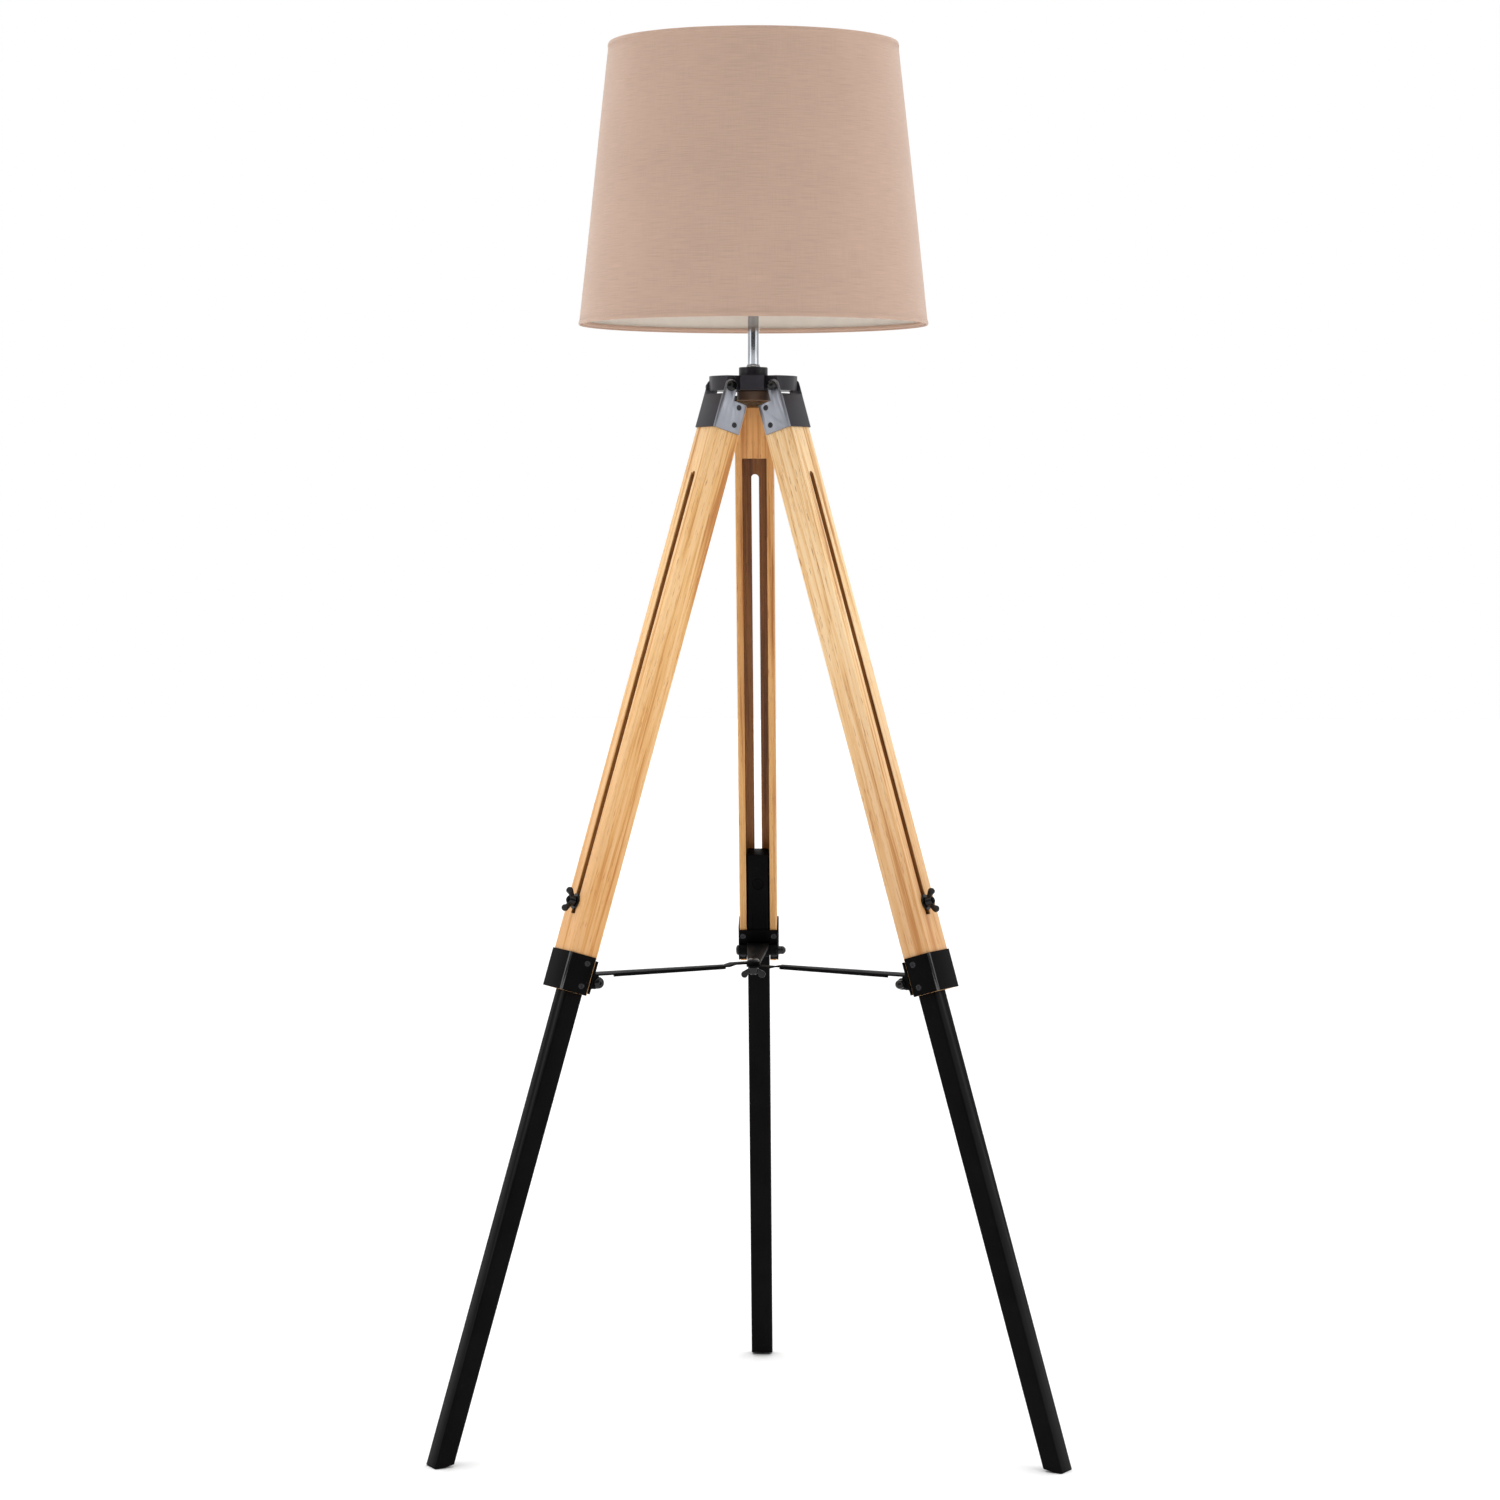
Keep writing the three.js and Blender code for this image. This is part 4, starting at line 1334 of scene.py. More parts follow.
def round_size(node: str) -> tuple[float, float, float]:
    """The sizes of a round node on the lamp's axis.

    Args:
        node: The node's name.

    Returns:
        Its outer radius, lowest and highest place.
    """
    low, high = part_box(node)
    return (high.x - low.x) / 2, low.z, high.z


# ------------------------------------------------------------------------------------------------
# Shade, lampholder and bulb
# ------------------------------------------------------------------------------------------------


@dataclass
class Shade:
    """The drum shade: cloth cover with rolled hems, stiff liner, wire rings and spider."""

    cloth: float = 0.0007
    hem_depth: float = 0.0042
    hem_roll: float = 0.0010
    hem_fold: float = 0.016             # cloth turned over at both rims together
    liner: float = 0.0006
    liner_gap: float = 0.0004
    liner_ease: float = 0.0002
    liner_rows: int = 12
    lap_width: float = 0.012
    lap_height: float = 0.00035
    slack: float = 0.0003               # keeps the waves inside the drum's own size
    around: int = 288
    rows: int = 26
    sheet_share: tuple[float, float] = (1.09, 1.27)
    wire: float = 0.0018
    ring_points: int = 160
    crank: float = 0.014                # the level end of a spider arm
    fitting_rim: float = 0.006
    fitting_bore: float = 0.0068
    fitting_half: float = 0.001
    fitting_edge: float = 0.0004
    axis: Vector = field(default_factory=lamp_axis)

    def __post_init__(self) -> None:
        """Take the drum's sizes from the frame."""
        low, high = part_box("shade_cover")
        self.bottom, self.top = low.z, high.z
        verts = frame["nodes"]["shade_cover"].data.vertices
        reach = {z: max((v.co.xy - self.axis.xy).length for v in verts if abs(v.co.z - z) < 0.001)
                 for z in (self.bottom, self.top)}
        self.low_radius, self.high_radius = reach[self.bottom], reach[self.top]

    def radius(self, z: float) -> float:
        """The cover's outer radius.

        Args:
            z: The height.

        Returns:
            The radius there.
        """
        share = (z - self.bottom) / (self.top - self.bottom)
        return self.low_radius + (self.high_radius - self.low_radius) * share

    def build(self) -> None:
        """Make and mount every piece of the shade."""
        cover = self.cover()
        self.lining()
        self.rings()
        self.spider()

    def wall(self, name: str, profile: Sequence[Point2], bulge: Callable[[float, float], float]) -> Piece:
        """A closed shell around the lamp's axis with a UV map in metres.

        Args:
            name: The piece's name.
            profile: Closed (radius, z) outline of its section.
            bulge: What is added to the radius at an angle and height.

        Returns:
            The piece.
        """
        bm = bmesh.new()
        uv = bm.loops.layers.uv.new("cloth")
        columns = []
        for i in range(self.around):
            angle = FULL_TURN * i / self.around
            reach = [(radius + bulge(angle, z), z) for radius, z in profile]
            columns.append([bm.verts.new((r * math.cos(angle), r * math.sin(angle), z)) for r, z in reach])
        lengths = [0.0]
        for (r0, z0), (r1, z1) in zip(profile, [*profile[1:], profile[0]]):
            lengths.append(lengths[-1] + math.hypot(r1 - r0, z1 - z0))
        mean = (self.low_radius + self.high_radius) / 2
        for i in range(self.around):
            here, there = columns[i], columns[(i + 1) % self.around]
            for k in range(len(profile)):
                m = (k + 1) % len(profile)
                face = bm.faces.new((here[k], there[k], there[m], here[m]))
                spots = ((i, k), (i + 1, k), (i + 1, k + 1), (i, k + 1))
                for loop, (column, row) in zip(face.loops, spots):
                    loop[uv].uv = (FULL_TURN * column / self.around * mean, lengths[row])
        bmesh.ops.recalc_face_normals(bm, faces=bm.faces)
        return Piece(name, bm, Matrix.Translation(self.axis))

    def hem(self, z: float) -> float:
        """How far the rolled hems stand out.

        Args:
            z: The height.

        Returns:
            What they add to the radius there.
        """
        for rim in (self.top, self.bottom):
            share = abs(z - rim) / self.hem_depth
            if share < 1:
                return self.hem_roll * math.sqrt(max(0.0, 1 - (2 * share - 1) ** 2)) * (0.55 + 0.45 * share)
        return 0.0

    def unevenness(self, angle: float, z: float) -> float:
        """The lap of the cloth's two ends, and the slight waves of a hand-made shade.

        Args:
            angle: The direction around the lamp, in radians.
            z: The height.

        Returns:
            What they add to the radius there.
        """
        back = abs(math.remainder(angle - math.pi / 2, FULL_TURN)) * self.radius(z)
        lap = self.lap_height if back < self.lap_width / 2 else 0.0
        wave = 0.00025 * math.sin(5 * angle + 1.3) + 0.00018 * math.sin(11 * angle + z * 21.0)
        return lap + wave - self.slack

    def cover(self) -> bpy.types.Object:
        """The cloth, rolled over at both rims and lapped at the back.

        Returns:
            The cloth.
        """
        shares = (0.0, 0.06, 0.2, 0.4, 0.6, 0.8, 0.94, 1.0)
        height = self.top - self.bottom
        steps = [self.bottom + self.hem_depth * share for share in shares]
        steps += [self.bottom + height * i / self.rows for i in range(1, self.rows)]
        steps += [self.top - self.hem_depth * share for share in reversed(shares)]
        skin = self.hem_roll * 0.5
        outside = [(self.radius(z) - skin + self.hem(z) * 0.8, z) for z in steps]
        inside = [(self.radius(z) - skin - self.cloth, z) for z in reversed(steps)]
        piece = self.wall("shade_cloth", outside + inside, self.unevenness)
        piece.smooth(ROUND).dress(Finish.FABRIC)
        return piece.mount("head", "shade_fabric", "shade_cover")

    def lining(self) -> None:
        """The stiff white liner inside the cloth, short of the hems."""
        inset = self.hem_roll * 0.5 + self.cloth + self.liner_gap
        low, high = self.bottom + self.hem_depth, self.top - self.hem_depth
        steps = [low + (high - low) * i / self.liner_rows for i in range(self.liner_rows + 1)]
        outside = [(self.radius(z) - inset, z) for z in steps]
        inside = [(self.radius(z) - inset - self.liner, z) for z in reversed(steps)]
        piece = self.wall("shade_lining", outside + inside, lambda angle, z: -self.liner_ease)
        piece.smooth(ROUND).dress(Finish.LINER).mount("head", "white_liner", "shade_liner")

    def ring(self, name: str, radius: float, z: float, node: str) -> None:
        """A ring of wire in the hem, wrapped in its cloth.

        Args:
            name: The piece's name.
            radius: The ring's radius.
            z: Its height.
            node: The node that it stands for.
        """
        seed = line_mesh([circle(radius, z, self.ring_points)], True)
        ring = wire_tree().run(name, seed, Finish.HEM, wire_radius=self.wire)
        ring.smooth().mount("head", "white_wire", node)

    def rings(self) -> None:
        """The wire rings at both rims."""
        radius, low, high = round_size("shade_top_ring")
        self.ring("shade_ring_top", radius - self.wire, (low + high) / 2, "shade_top_ring")
        radius, low, _ = round_size("shade_spider")
        self.ring("spider_ring", radius - self.wire, low + self.wire, "shade_spider")

    def spider(self) -> None:
        """The three arms and the flat fitting that carry the shade on its holder."""
        radius, low, high = round_size("shade_spider")
        reach, foot, rise = radius - self.wire, low + self.wire, high - self.fitting_half
        clamp = round_size("holder_ring_lower")[0]
        outer, inner = clamp + self.fitting_rim, clamp - self.fitting_bore
        arms = []
        for turn in AZIMUTHS:
            out = Vector((math.cos(math.radians(turn)), math.sin(math.radians(turn)), 0))
            stops = ((reach, foot), (reach - self.crank, foot), (outer - 0.002, rise))
            arms.append([self.axis + out * far + Vector((0, 0, z)) for far, z in stops])
        rods = wire_tree().run("spider_arms", line_mesh(arms), Finish.WIRE, wire_radius=self.wire)
        rods.smooth().mount("head", "white_wire", "shade_spider")
        section = rounded(tube(inner, outer, -self.fitting_half, self.fitting_half), self.fitting_edge)
        plate = Piece("spider_fitting", turned(section, 64), on_axis(rise))
        plate.smooth().dress(Finish.WIRE).mount("head", "white_wire", "shade_spider")


@dataclass
class Lampholder:
    """The bulb, its holder, and the two rings that clamp the shade's spider."""

    rod_hole: float = 0.0052
    waist: float = 0.0142
    waist_edge: float = 0.003
    shoulder: float = 0.012
    shell_wall: float = 0.0014
    insert_bore: float = 0.0136
    insert_floor: float = 0.006
    ring_bore: float = 0.0169
    ribs: int = 40
    rib: float = 0.0007
    rib_share: float = 0.84
    cap: float = 0.013
    cap_height: float = 0.024
    thread_turns: int = 5
    thread: float = 0.0006
    neck: float = 0.0138
    glass_gap: float = 0.0003

    def build(self) -> None:
        """Make and mount every piece."""
        self.shell()
        self.insert()
        self.clamp_rings()
        self.bulb()

    def shell(self) -> None:
        """The moulded shell, with a waist and a soft lip."""
        radius, low, high = round_size("lampholder_shell")
        height, floor = high - low, self.shoulder + self.shell_wall
        profile = [
            (self.rod_hole, 0), (self.waist - self.waist_edge, 0), (self.waist, self.waist_edge),
            (self.waist, self.shoulder - self.waist_edge), (radius, self.shoulder), (radius, height),
            (radius - self.shell_wall, height), (radius - self.shell_wall, floor), (self.rod_hole, floor),
            (self.rod_hole, 0),
        ]
        piece = Piece("holder_shell", turned(rounded(profile, 0.0009), 56), on_axis(low))
        piece.smooth().dress(Finish.PLASTIC).mount("head", "black_plastic", "lampholder_shell")

    def insert(self) -> None:
        """The ceramic block inside."""
        radius, low, high = round_size("lampholder_insert")
        profile = [(0, 0), (radius, 0), (radius, high - low), (self.insert_bore, high - low),
                   (self.insert_bore, self.insert_floor), (0, self.insert_floor)]
        piece = Piece("holder_ceramic", turned(rounded(profile, 0.0006)), on_axis(low))
        piece.smooth().dress(Finish.CERAMIC).mount("head", "white_liner", "lampholder_insert")

    def clamp_rings(self) -> None:
        """Two threaded rings with grip ribs around them."""
        grips = rib_tree()
        for name in ("lower", "upper"):
            radius, low, high = round_size(f"holder_ring_{name}")
            body, height = radius - self.rib, high - low
            section = rounded(tube(self.ring_bore, body, 0, height), 0.0006)
            piece = Piece(f"clamp_ring_{name}", turned(section, 56), on_axis(low))
            piece.smooth().dress(Finish.PLASTIC).mount("head", "black_plastic", f"holder_ring_{name}")
            seed = point_mesh(circle(body, (low + high) / 2, self.ribs))
            ribs = grips.run(f"clamp_ring_grip_{name}", seed, Finish.PLASTIC,
                             rib_height=height * self.rib_share, rib_radius=self.rib)
            ribs.smooth().mount("head", "black_plastic")

    def bulb(self) -> None:
        """A frosted glass on a threaded metal cap."""
        radius, low, high = round_size("bulb")
        threads: list[Point2] = [(0, 0), (0.004, 0), (0.0062, 0.0016), (0.0104, 0.0026), (0.0118, 0.005)]
        steps = self.thread_turns * 4
        for i in range(steps + 1):
            z = 0.0055 + i * (self.cap_height - 0.0075) / steps
            threads.append((self.cap - 0.0007 + self.thread * math.sin(i * math.pi / 2), z))
        threads += [(self.cap - 0.0004, self.cap_height - 0.001), (self.cap, self.cap_height),
                    (0, self.cap_height)]
        base = Piece("bulb_cap", turned(threads), on_axis(low))
        base.smooth().dress(Finish.STEEL).mount("head", "steel")
        centre, foot = (0.0, high - low - radius), self.cap_height + self.glass_gap
        glass = [(0, foot), (self.neck - 0.001, foot), (self.neck, self.cap_height + 0.002),
                 (self.neck + 0.0012, self.cap_height + 0.011), *arc(centre, radius, -38, 88, 22),
                 (0, high - low)]
        globe = Piece("bulb_globe", turned(glass, 56), on_axis(low))
        globe.smooth(ROUND).dress(Finish.GLASS).mount("head", "bulb_glass", "bulb")


@dataclass
class Column:
    """The chrome stem, the hub and what is under it."""

    stem_wall: float = 0.0005
    rod_hole: float = 0.0052
    rod_bore: float = 0.0032
    rod_pitch: float = 0.001
    rod_thread: float = 0.00055
    hub_radius: float = 0.0453
    hub_edge: float = 0.0006
    tongue: float = 0.0199              # half the width of the disc's part under a leg
    spoke: float = 0.012                # half the width of its part between two legs
    hinge_hole: float = 0.0028
    hinge_reach: float = 0.025
    gland_bore: float = 0.0034
    gland_edge: float = 0.001
    axis: Vector = field(default_factory=lamp_axis)

    def build(self) -> None:
        """Make and mount every piece."""
        self.stem()
        self.rod()
        self.hub()
        self.underside()

    def round_piece(self, name: str, profile: Sequence[Point2], finish: Finish, slot: str, node: str,
                    ease: float = 0.0005, segments: int = 64) -> None:
        """Make and mount a turned piece on the lamp's axis, standing for one node.

        Args:
            name: The piece's name.
            profile: Its (radius, z) section above the node's lowest place.
            finish: Its finish.
            slot: The record's material slot.
            node: The node.
            ease: How far its corners are rounded.
            segments: Facets around.
        """
        low = round_size(node)[1]
        piece = Piece(name, turned(rounded(profile, ease), segments), on_axis(low))
        piece.smooth().dress(finish).mount("head", slot, node)

    def stem(self) -> None:
        """The tube and its flared collar."""
        outer, low, high = round_size("stem_tube")
        section = tube(outer - self.stem_wall, outer, 0, high - low)
        self.round_piece("stem", section, Finish.CHROME, "chrome", "stem_tube", 0.0002)
        bore = outer + SEAT_GAP
        flare, low, high = round_size("stem_collar")
        collar = [(bore, 0), (flare, 0), (flare, 0.0009), (flare - 0.0009, 0.0021),
                  (bore + 0.0006, high - low), (bore, high - low), (bore, 0)]
        self.round_piece("stem_foot", collar, Finish.CHROME, "chrome", "stem_collar", 0.0004)

    def rod(self) -> None:
        """The hollow threaded rod inside the stem."""
        root, low, high = round_size("stem_rod")
        height = high - low
        steps = int(height / self.rod_pitch * 2)
        ridge = [(root - self.rod_thread * (i % 2), height * i / steps) for i in range(steps + 1)]
        section = [(self.rod_bore, 0), *ridge, (self.rod_bore, height), (self.rod_bore, 0)]
        piece = Piece("threaded_rod", turned(section, 32), on_axis(low))
        piece.smooth().dress(Finish.STEEL).mount("head", "steel", "stem_rod")

    def hub(self) -> None:
        """The boss, and the drilled disc with its notches."""
        radius, low, high = round_size("hub_boss")
        section = tube(self.rod_hole, radius, 0, high - low)
        self.round_piece("boss", section, Finish.HUB, "hub_metal", "hub_boss", 0.0011, 72)
        _, low, high = round_size("hub_disc")
        past = 0.01
        bores = [turned([(0, low - past), (self.rod_hole, low - past), (self.rod_hole, high + past),
                         (0, high + past)], 32)]
        for leg in LegFrame.all():
            hole = turned([(0, -self.hinge_reach), (self.hinge_hole, -self.hinge_reach),
                           (self.hinge_hole, self.hinge_reach), (0, self.hinge_reach)], 24)
            bores.append(moved(hole, Matrix.Translation(-self.axis) @ leg.matrix @ along_y(0, 0, 0)))
        piece = Piece("hub", self.disc_blank(low, high), on_axis())
        piece.cut(*bores).edges(self.hub_edge, 3)
        piece.dress(Finish.HUB).mount("head", "hub_metal", "hub_disc")

    def disc_blank(self, low: float, high: float, steps: int = 20) -> bmesh.types.BMesh:
        """The disc's notched plan as a prism: tongues under the legs, spokes between them.

        Args:
            low: The disc's underside.
            high: Its top.
            steps: Chords in each outer arc.

        Returns:
            The mesh.
        """
        radius, tongue, spoke = self.hub_radius, self.tongue, self.spoke
        notch = (spoke + tongue / 2) / math.cos(math.radians(30))
        corner, turn = math.hypot(notch, tongue), math.degrees(math.atan2(tongue, notch))
        wide, narrow = math.degrees(math.asin(tongue / radius)), math.degrees(math.asin(spoke / radius))
        outline: list[Point2] = []
        for azimuth in AZIMUTHS:
            outline += arc((0, 0), radius, azimuth - wide, azimuth + wide, steps)
            outline += arc((0, 0), corner, azimuth + turn, azimuth + turn, 1)[:1]
            outline += arc((0, 0), radius, azimuth + 60 - narrow, azimuth + 60 + narrow, steps)
            outline += arc((0, 0), corner, azimuth + 120 - turn, azimuth + 120 - turn, 1)[:1]
        return prism(outline, low, high)

    def underside(self) -> None:
        """The round nut and the cord's gland under the hub."""
        gland, gland_low, gland_high = round_size("cord_gland")
        radius, low, high = round_size("hub_nut")
        bore, mouth, height = self.rod_hole, gland + SEAT_GAP, high - low
        ledge = gland_high + SEAT_GAP - low
        cup = [(bore, ledge), (mouth, ledge), (mouth, 0), (radius, 0), (radius, height), (bore, height),
               (bore, ledge)]
        self.round_piece("round_nut", cup, Finish.BRONZE, "hub_metal", "hub_nut", 0.0012)
        bore, edge, height = self.gland_bore, self.gland_edge, gland_high - gland_low
        seal = [(bore, 0), (gland - edge, 0), (gland, edge), (gland, height), (bore, height), (bore, 0)]
        self.round_piece("gland", seal, Finish.PLASTIC, "black_plastic", "cord_gland", 0.0005, 40)


# ------------------------------------------------------------------------------------------------
# Legs
# ------------------------------------------------------------------------------------------------


@dataclass
class LegFrame:
    """A leg's own frame, read from its joints."""

    name: str
    matrix: Matrix

    @staticmethod
    def joint(name: str) -> dict:
        """A joint's row.

        Args:
            name: The joint's name.

        Returns:
            The row.
        """
        return next(j for j in frame["joints"] if j["name"] == name)

    @classmethod
    def of(cls, name: str) -> "LegFrame":
        """The frame of one leg: X out, Y around, Z up the leg, at its hinge.

        Args:
            name: Which leg.

        Returns:
            The frame.
        """
        fold, slide = cls.joint(f"leg_fold_{name}"), cls.joint(f"leg_slide_{name}")
        around, up = Vector(fold["axis"]).normalized(), Vector(slide["axis"]).normalized()
        out = around.cross(up).normalized()
        rotation = Matrix((out, around, up)).transposed().to_4x4()
        return cls(name, Matrix.Translation(fold["pos_m"]) @ rotation)

    @classmethod
    def all(cls) -> list["LegFrame"]:
        """All three legs' frames.

        Returns:
            The frames.
        """
        return [cls.of(name) for name in ("back", "left", "right")]

    def local_box(self, node: str) -> tuple[Vector, Vector]:
        """A node's box in this frame.

        Args:
            node: The node's name.

        Returns:
            Its lowest and highest corner.
        """
        inverse = self.matrix.inverted()
        points = [inverse @ v.co for v in frame["nodes"][node].data.vertices]
        return (Vector(min(p[i] for p in points) for i in range(3)),
                Vector(max(p[i] for p in points) for i in range(3)))


@dataclass
class Fasteners:
    """Domed bolts, cap nuts, wing nuts and washers."""

    bolt: float = 0.0025
    head: float = 0.0054
    head_height: float = 0.003
    head_rim: float = 0.0008
    socket_radius: float = 0.0019
    socket_depth: float = 0.0016
    nut: float = 0.0046
    nut_height: float = 0.0086
    nut_share: float = 0.55             # how much of the cap nut the bolt fills
    clamp_bolt: float = 0.003
    clamp_head_height: float = 0.0026
    clamp_tip: float = 0.0006
    wing_base: float = 0.0054
    wing_top: float = 0.0042
    wing_height: float = 0.007
    wing_span: float = 0.0126
    wing_rise: float = 0.0115
    wing_thickness: float = 0.0024
    wing_lobe: float = 0.0036
    melt: float = 0.00032
    melt_rounds: int = 4

    def domed_bolt(self, grip: float) -> bmesh.types.BMesh:
        """A bolt along Z with a domed head up.

        Args:
            grip: How far the pieces that it holds reach each way.

        Returns:
            The mesh.
        """
        seat = grip + SEAT_GAP
        end = -seat - self.nut_height * self.nut_share
        cap = dome(self.head, self.head_height - self.head_rim, seat + self.head_rim, 10)
        shoulder = rounded([(self.bolt, seat), (self.head, seat), cap[0]], 0.0003)
        return turned([(0, end), (self.bolt, end), (self.bolt, seat), *shoulder[1:-1], *cap], 40)

    def socket(self, grip: float) -> bmesh.types.BMesh:
        """The hexagon socket that is cut into a domed bolt.

        Args:
            grip: How far the pieces that the bolt holds reach each way.

        Returns:
            The mesh.
        """
        top = grip + SEAT_GAP + self.head_height
        return prism(arc((0, 0), self.socket_radius, 0, 300, 5), top - self.socket_depth, top + 0.002)

    def cap_nut(self) -> bmesh.types.BMesh:
        """A domed cap nut with its seat at Z = 0.

        Returns:
            The mesh.
        """
        start = self.nut_height - self.nut
        bore, depth = self.bolt + SEAT_GAP, self.nut_height * self.nut_share + SEAT_GAP
        profile = [(bore, 0), (self.nut - 0.0004, 0), (self.nut, 0.0004), (self.nut, start * 0.55),
                   (self.nut - 0.00035, start * 0.75), *dome(self.nut, self.nut, start, 12)[1:],
                   (0, depth), (bore, depth), (bore, 0)]
        return turned(profile, 40)

    def wing_nut(self) -> bmesh.types.BMesh:
        """The solids of a wing nut with its seat at Z = 0 and its wings along X.

        Returns:
            The mesh.
        """
        bore, height, half = self.clamp_bolt + SEAT_GAP, self.wing_height, self.wing_thickness / 2
        hub = turned([(bore, 0), (self.wing_base, 0), (self.wing_base, 0.0012), (self.wing_top, height),
                      (bore, height), (bore, 0)], 40)
        centre = (self.wing_span - self.wing_lobe, self.wing_rise - self.wing_lobe)
        tip = arc(centre, self.wing_lobe, -60, 130, 12)
        outline = [(bore + 0.0005, 0.001), *tip, (bore + 0.0005, height * 0.8)]
        wings = [prism([(side * x, z) for x, z in outline], -half, half, "y") for side in (1, -1)]
        return joined(hub, *wings)

    def washer(self, bore: float, radius: float, thickness: float) -> bmesh.types.BMesh:
        """A flat washer with eased rims, standing on Z = 0.

        Args:
            bore: Its hole's radius.
            radius: Its outer radius.
            thickness: How thick it is.

        Returns:
            The mesh.
        """
        return turned(rounded(tube(bore, radius, 0, thickness), 0.0004), 56)


@dataclass
class Leg:
    """One leg: brackets, wood, sliding foot, clamp, strut, and their bolts and screws."""

    at: LegFrame
    wood: Finish
    screw: NodeMaker
    tools: Fasteners = field(default_factory=Fasteners)
    sheet_edge: float = 0.0003
    wood_edge: float = 0.0008
    slider_edge: float = 0.0005
    groove: float = 0.0129              # half the width of the channel, a little more
    skin: float = 0.0008                # how far a routed face is inside the wood's faces
    end_skin: float = 0.002
    web_inset: float = 0.0019
    bend_range: tuple[float, float] = (0.25, 0.97)
    screw_radius: float = 0.0028
    screw_depth: float = 0.001
    screw_line: float = -0.0149
    screw_proud: float = -0.0001
    screw_margin: float = 0.008
    bracket_pitch: float = 0.0185
    sleeve_pitch: float = 0.0235
    strap: float = 0.0127               # the inner edge of the strut plate's two straps
    strap_thickness: float = 0.0014
    strap_margins: tuple[float, float] = (0.007, 0.005)

    @property
    def name(self) -> str:
        """Which leg it is.

        Returns:
            The leg's name.
        """
        return self.at.name

    def build(self) -> None:
        """Make and mount every piece."""
        self.timber()
        self.bracket()
        self.sleeve()
        self.pins()
        self.bush()
        self.foot()
        self.clamp()
        self.strut()
        self.screws()

    def timber(self) -> None:
        """The wooden upper leg, its edges eased and its channel and slot in a darker copy of the wood that is
        painted shade.
        """
        node = f"leg_upper_{self.name}"
        low, high = self.at.local_box(node)

        def routed(middle: Vector, _: Vector) -> bool:
            """Whether a face is a wall or floor of the channel or slot.

            Args:
                middle: The face's middle, in the leg's frame.
                _: Its normal; not used.

            Returns:
                True for such a face.
            """
            across = low.x + self.skin < middle.x < high.x - self.skin
            along = low.z + self.end_skin < middle.z < high.z - self.end_skin
            return across and along and abs(middle.y) < self.groove

        piece = refined(f"timber_{self.name}", node, self.at.matrix)
        piece.edges(self.wood_edge, 3).remember_place().dress(self.wood, Finish.ROUTED_SHADE)
        # The channel's and slot's faces get the darker copy of the wood: painted shade.
        piece.paint(routed).mount(f"leg_{self.name}", "honey_wood", node)

    def bracket(self) -> None:
        """The bent top bracket: bright side plates and a black web."""
        node = f"top_bracket_{self.name}"
        half = self.at.local_box(node)[1].y
        piece = refined(f"bracket_{self.name}", node, self.at.matrix)
        piece.edges(self.sheet_edge).remember_place().dress(Finish.PLATE, Finish.HUB)
        piece.paint(lambda middle, normal: abs(middle.y) < half - self.web_inset)
        piece.mount(f"leg_{self.name}", "bracket_steel", node)

    def sleeve(self) -> None:
        """The black sleeve at the wood's end and the plate that carries the strut, with a painted highlight on
        their bends.
        """
        least, most = self.bend_range

        def bent(_: Vector, normal: Vector) -> bool:
            """Whether a face is part of an upright bend.

            Args:
                _: The face's middle, in the leg's frame; not used.
                normal: Its normal.

            Returns:
                True for such a face.
            """
            return least < abs(normal.x) < most and least < abs(normal.y) < most

        for kind, source in (("sleeve", "lower_sleeve"), ("strut_plate", "hinge_plate")):
            node = f"{source}_{self.name}"
            piece = refined(f"{kind}_{self.name}", node, self.at.matrix)
            piece.edges(self.sheet_edge).dress(Finish.BLACK, Finish.EDGE)
            # The bends get the lighter, glossier copy of the black paint: a painted highlight.
            piece.paint(bent).mount(f"leg_{self.name}", "black_metal", node)

    def pins(self) -> None:
        """The hinge bolt and the strut bolt with their cap nuts."""
        body = f"leg_{self.name}"
        for kind in ("hinge", "strut"):
            bolt_node, nut_node = f"{kind}_bolt_{self.name}", f"{kind}_cap_nut_{self.name}"
            low, high = self.at.local_box(bolt_node)
            grip = high.y - self.tools.head_height - SEAT_GAP
            x, z = (low.x + high.x) / 2, (low.z + high.z) / 2
            place = self.at.matrix @ along_y(x, 0, z)
            bolt = Piece(f"{kind}_pin_{self.name}", self.tools.domed_bolt(grip), place)
            bolt.cut(self.tools.socket(grip)).smooth().dress(Finish.BOLT)
            bolt.mount(body, "black_metal", bolt_node)
            seat = self.at.matrix @ along_y(x, -grip - SEAT_GAP, z) @ Matrix.Rotation(math.pi, 4, "X")
            nut = Piece(f"{kind}_dome_nut_{self.name}", self.tools.cap_nut(), seat)
            nut.smooth().dress(Finish.BOLT).mount(body, "black_metal", nut_node)

    def bush(self) -> None:
        """The strut's bush on its bolt."""
        node = f"strut_bush_{self.name}"
        low, high = self.at.local_box(node)
        x, z = (low.x + high.x) / 2, (low.z + high.z) / 2
        section = tube(self.tools.bolt + SEAT_GAP, (high.x - low.x) / 2, -high.y, high.y)
        bm = turned(rounded(section, 0.0004), 40)
        piece = Piece(f"bush_{self.name}", bm, self.at.matrix @ along_y(x, 0, z))
        piece.smooth().dress(Finish.BLACK).mount(f"leg_{self.name}", "black_metal", node)

    def foot(self) -> None:
        """The black sliding leg."""
        node = f"leg_lower_{self.name}"
        piece = refined(f"slider_{self.name}", node, self.at.matrix)
        piece.edges(self.slider_edge, 2, 25.0).remember_place().dress(Finish.BLACK_WOOD)
        piece.mount(f"lower_leg_{self.name}", "black_wood", node)

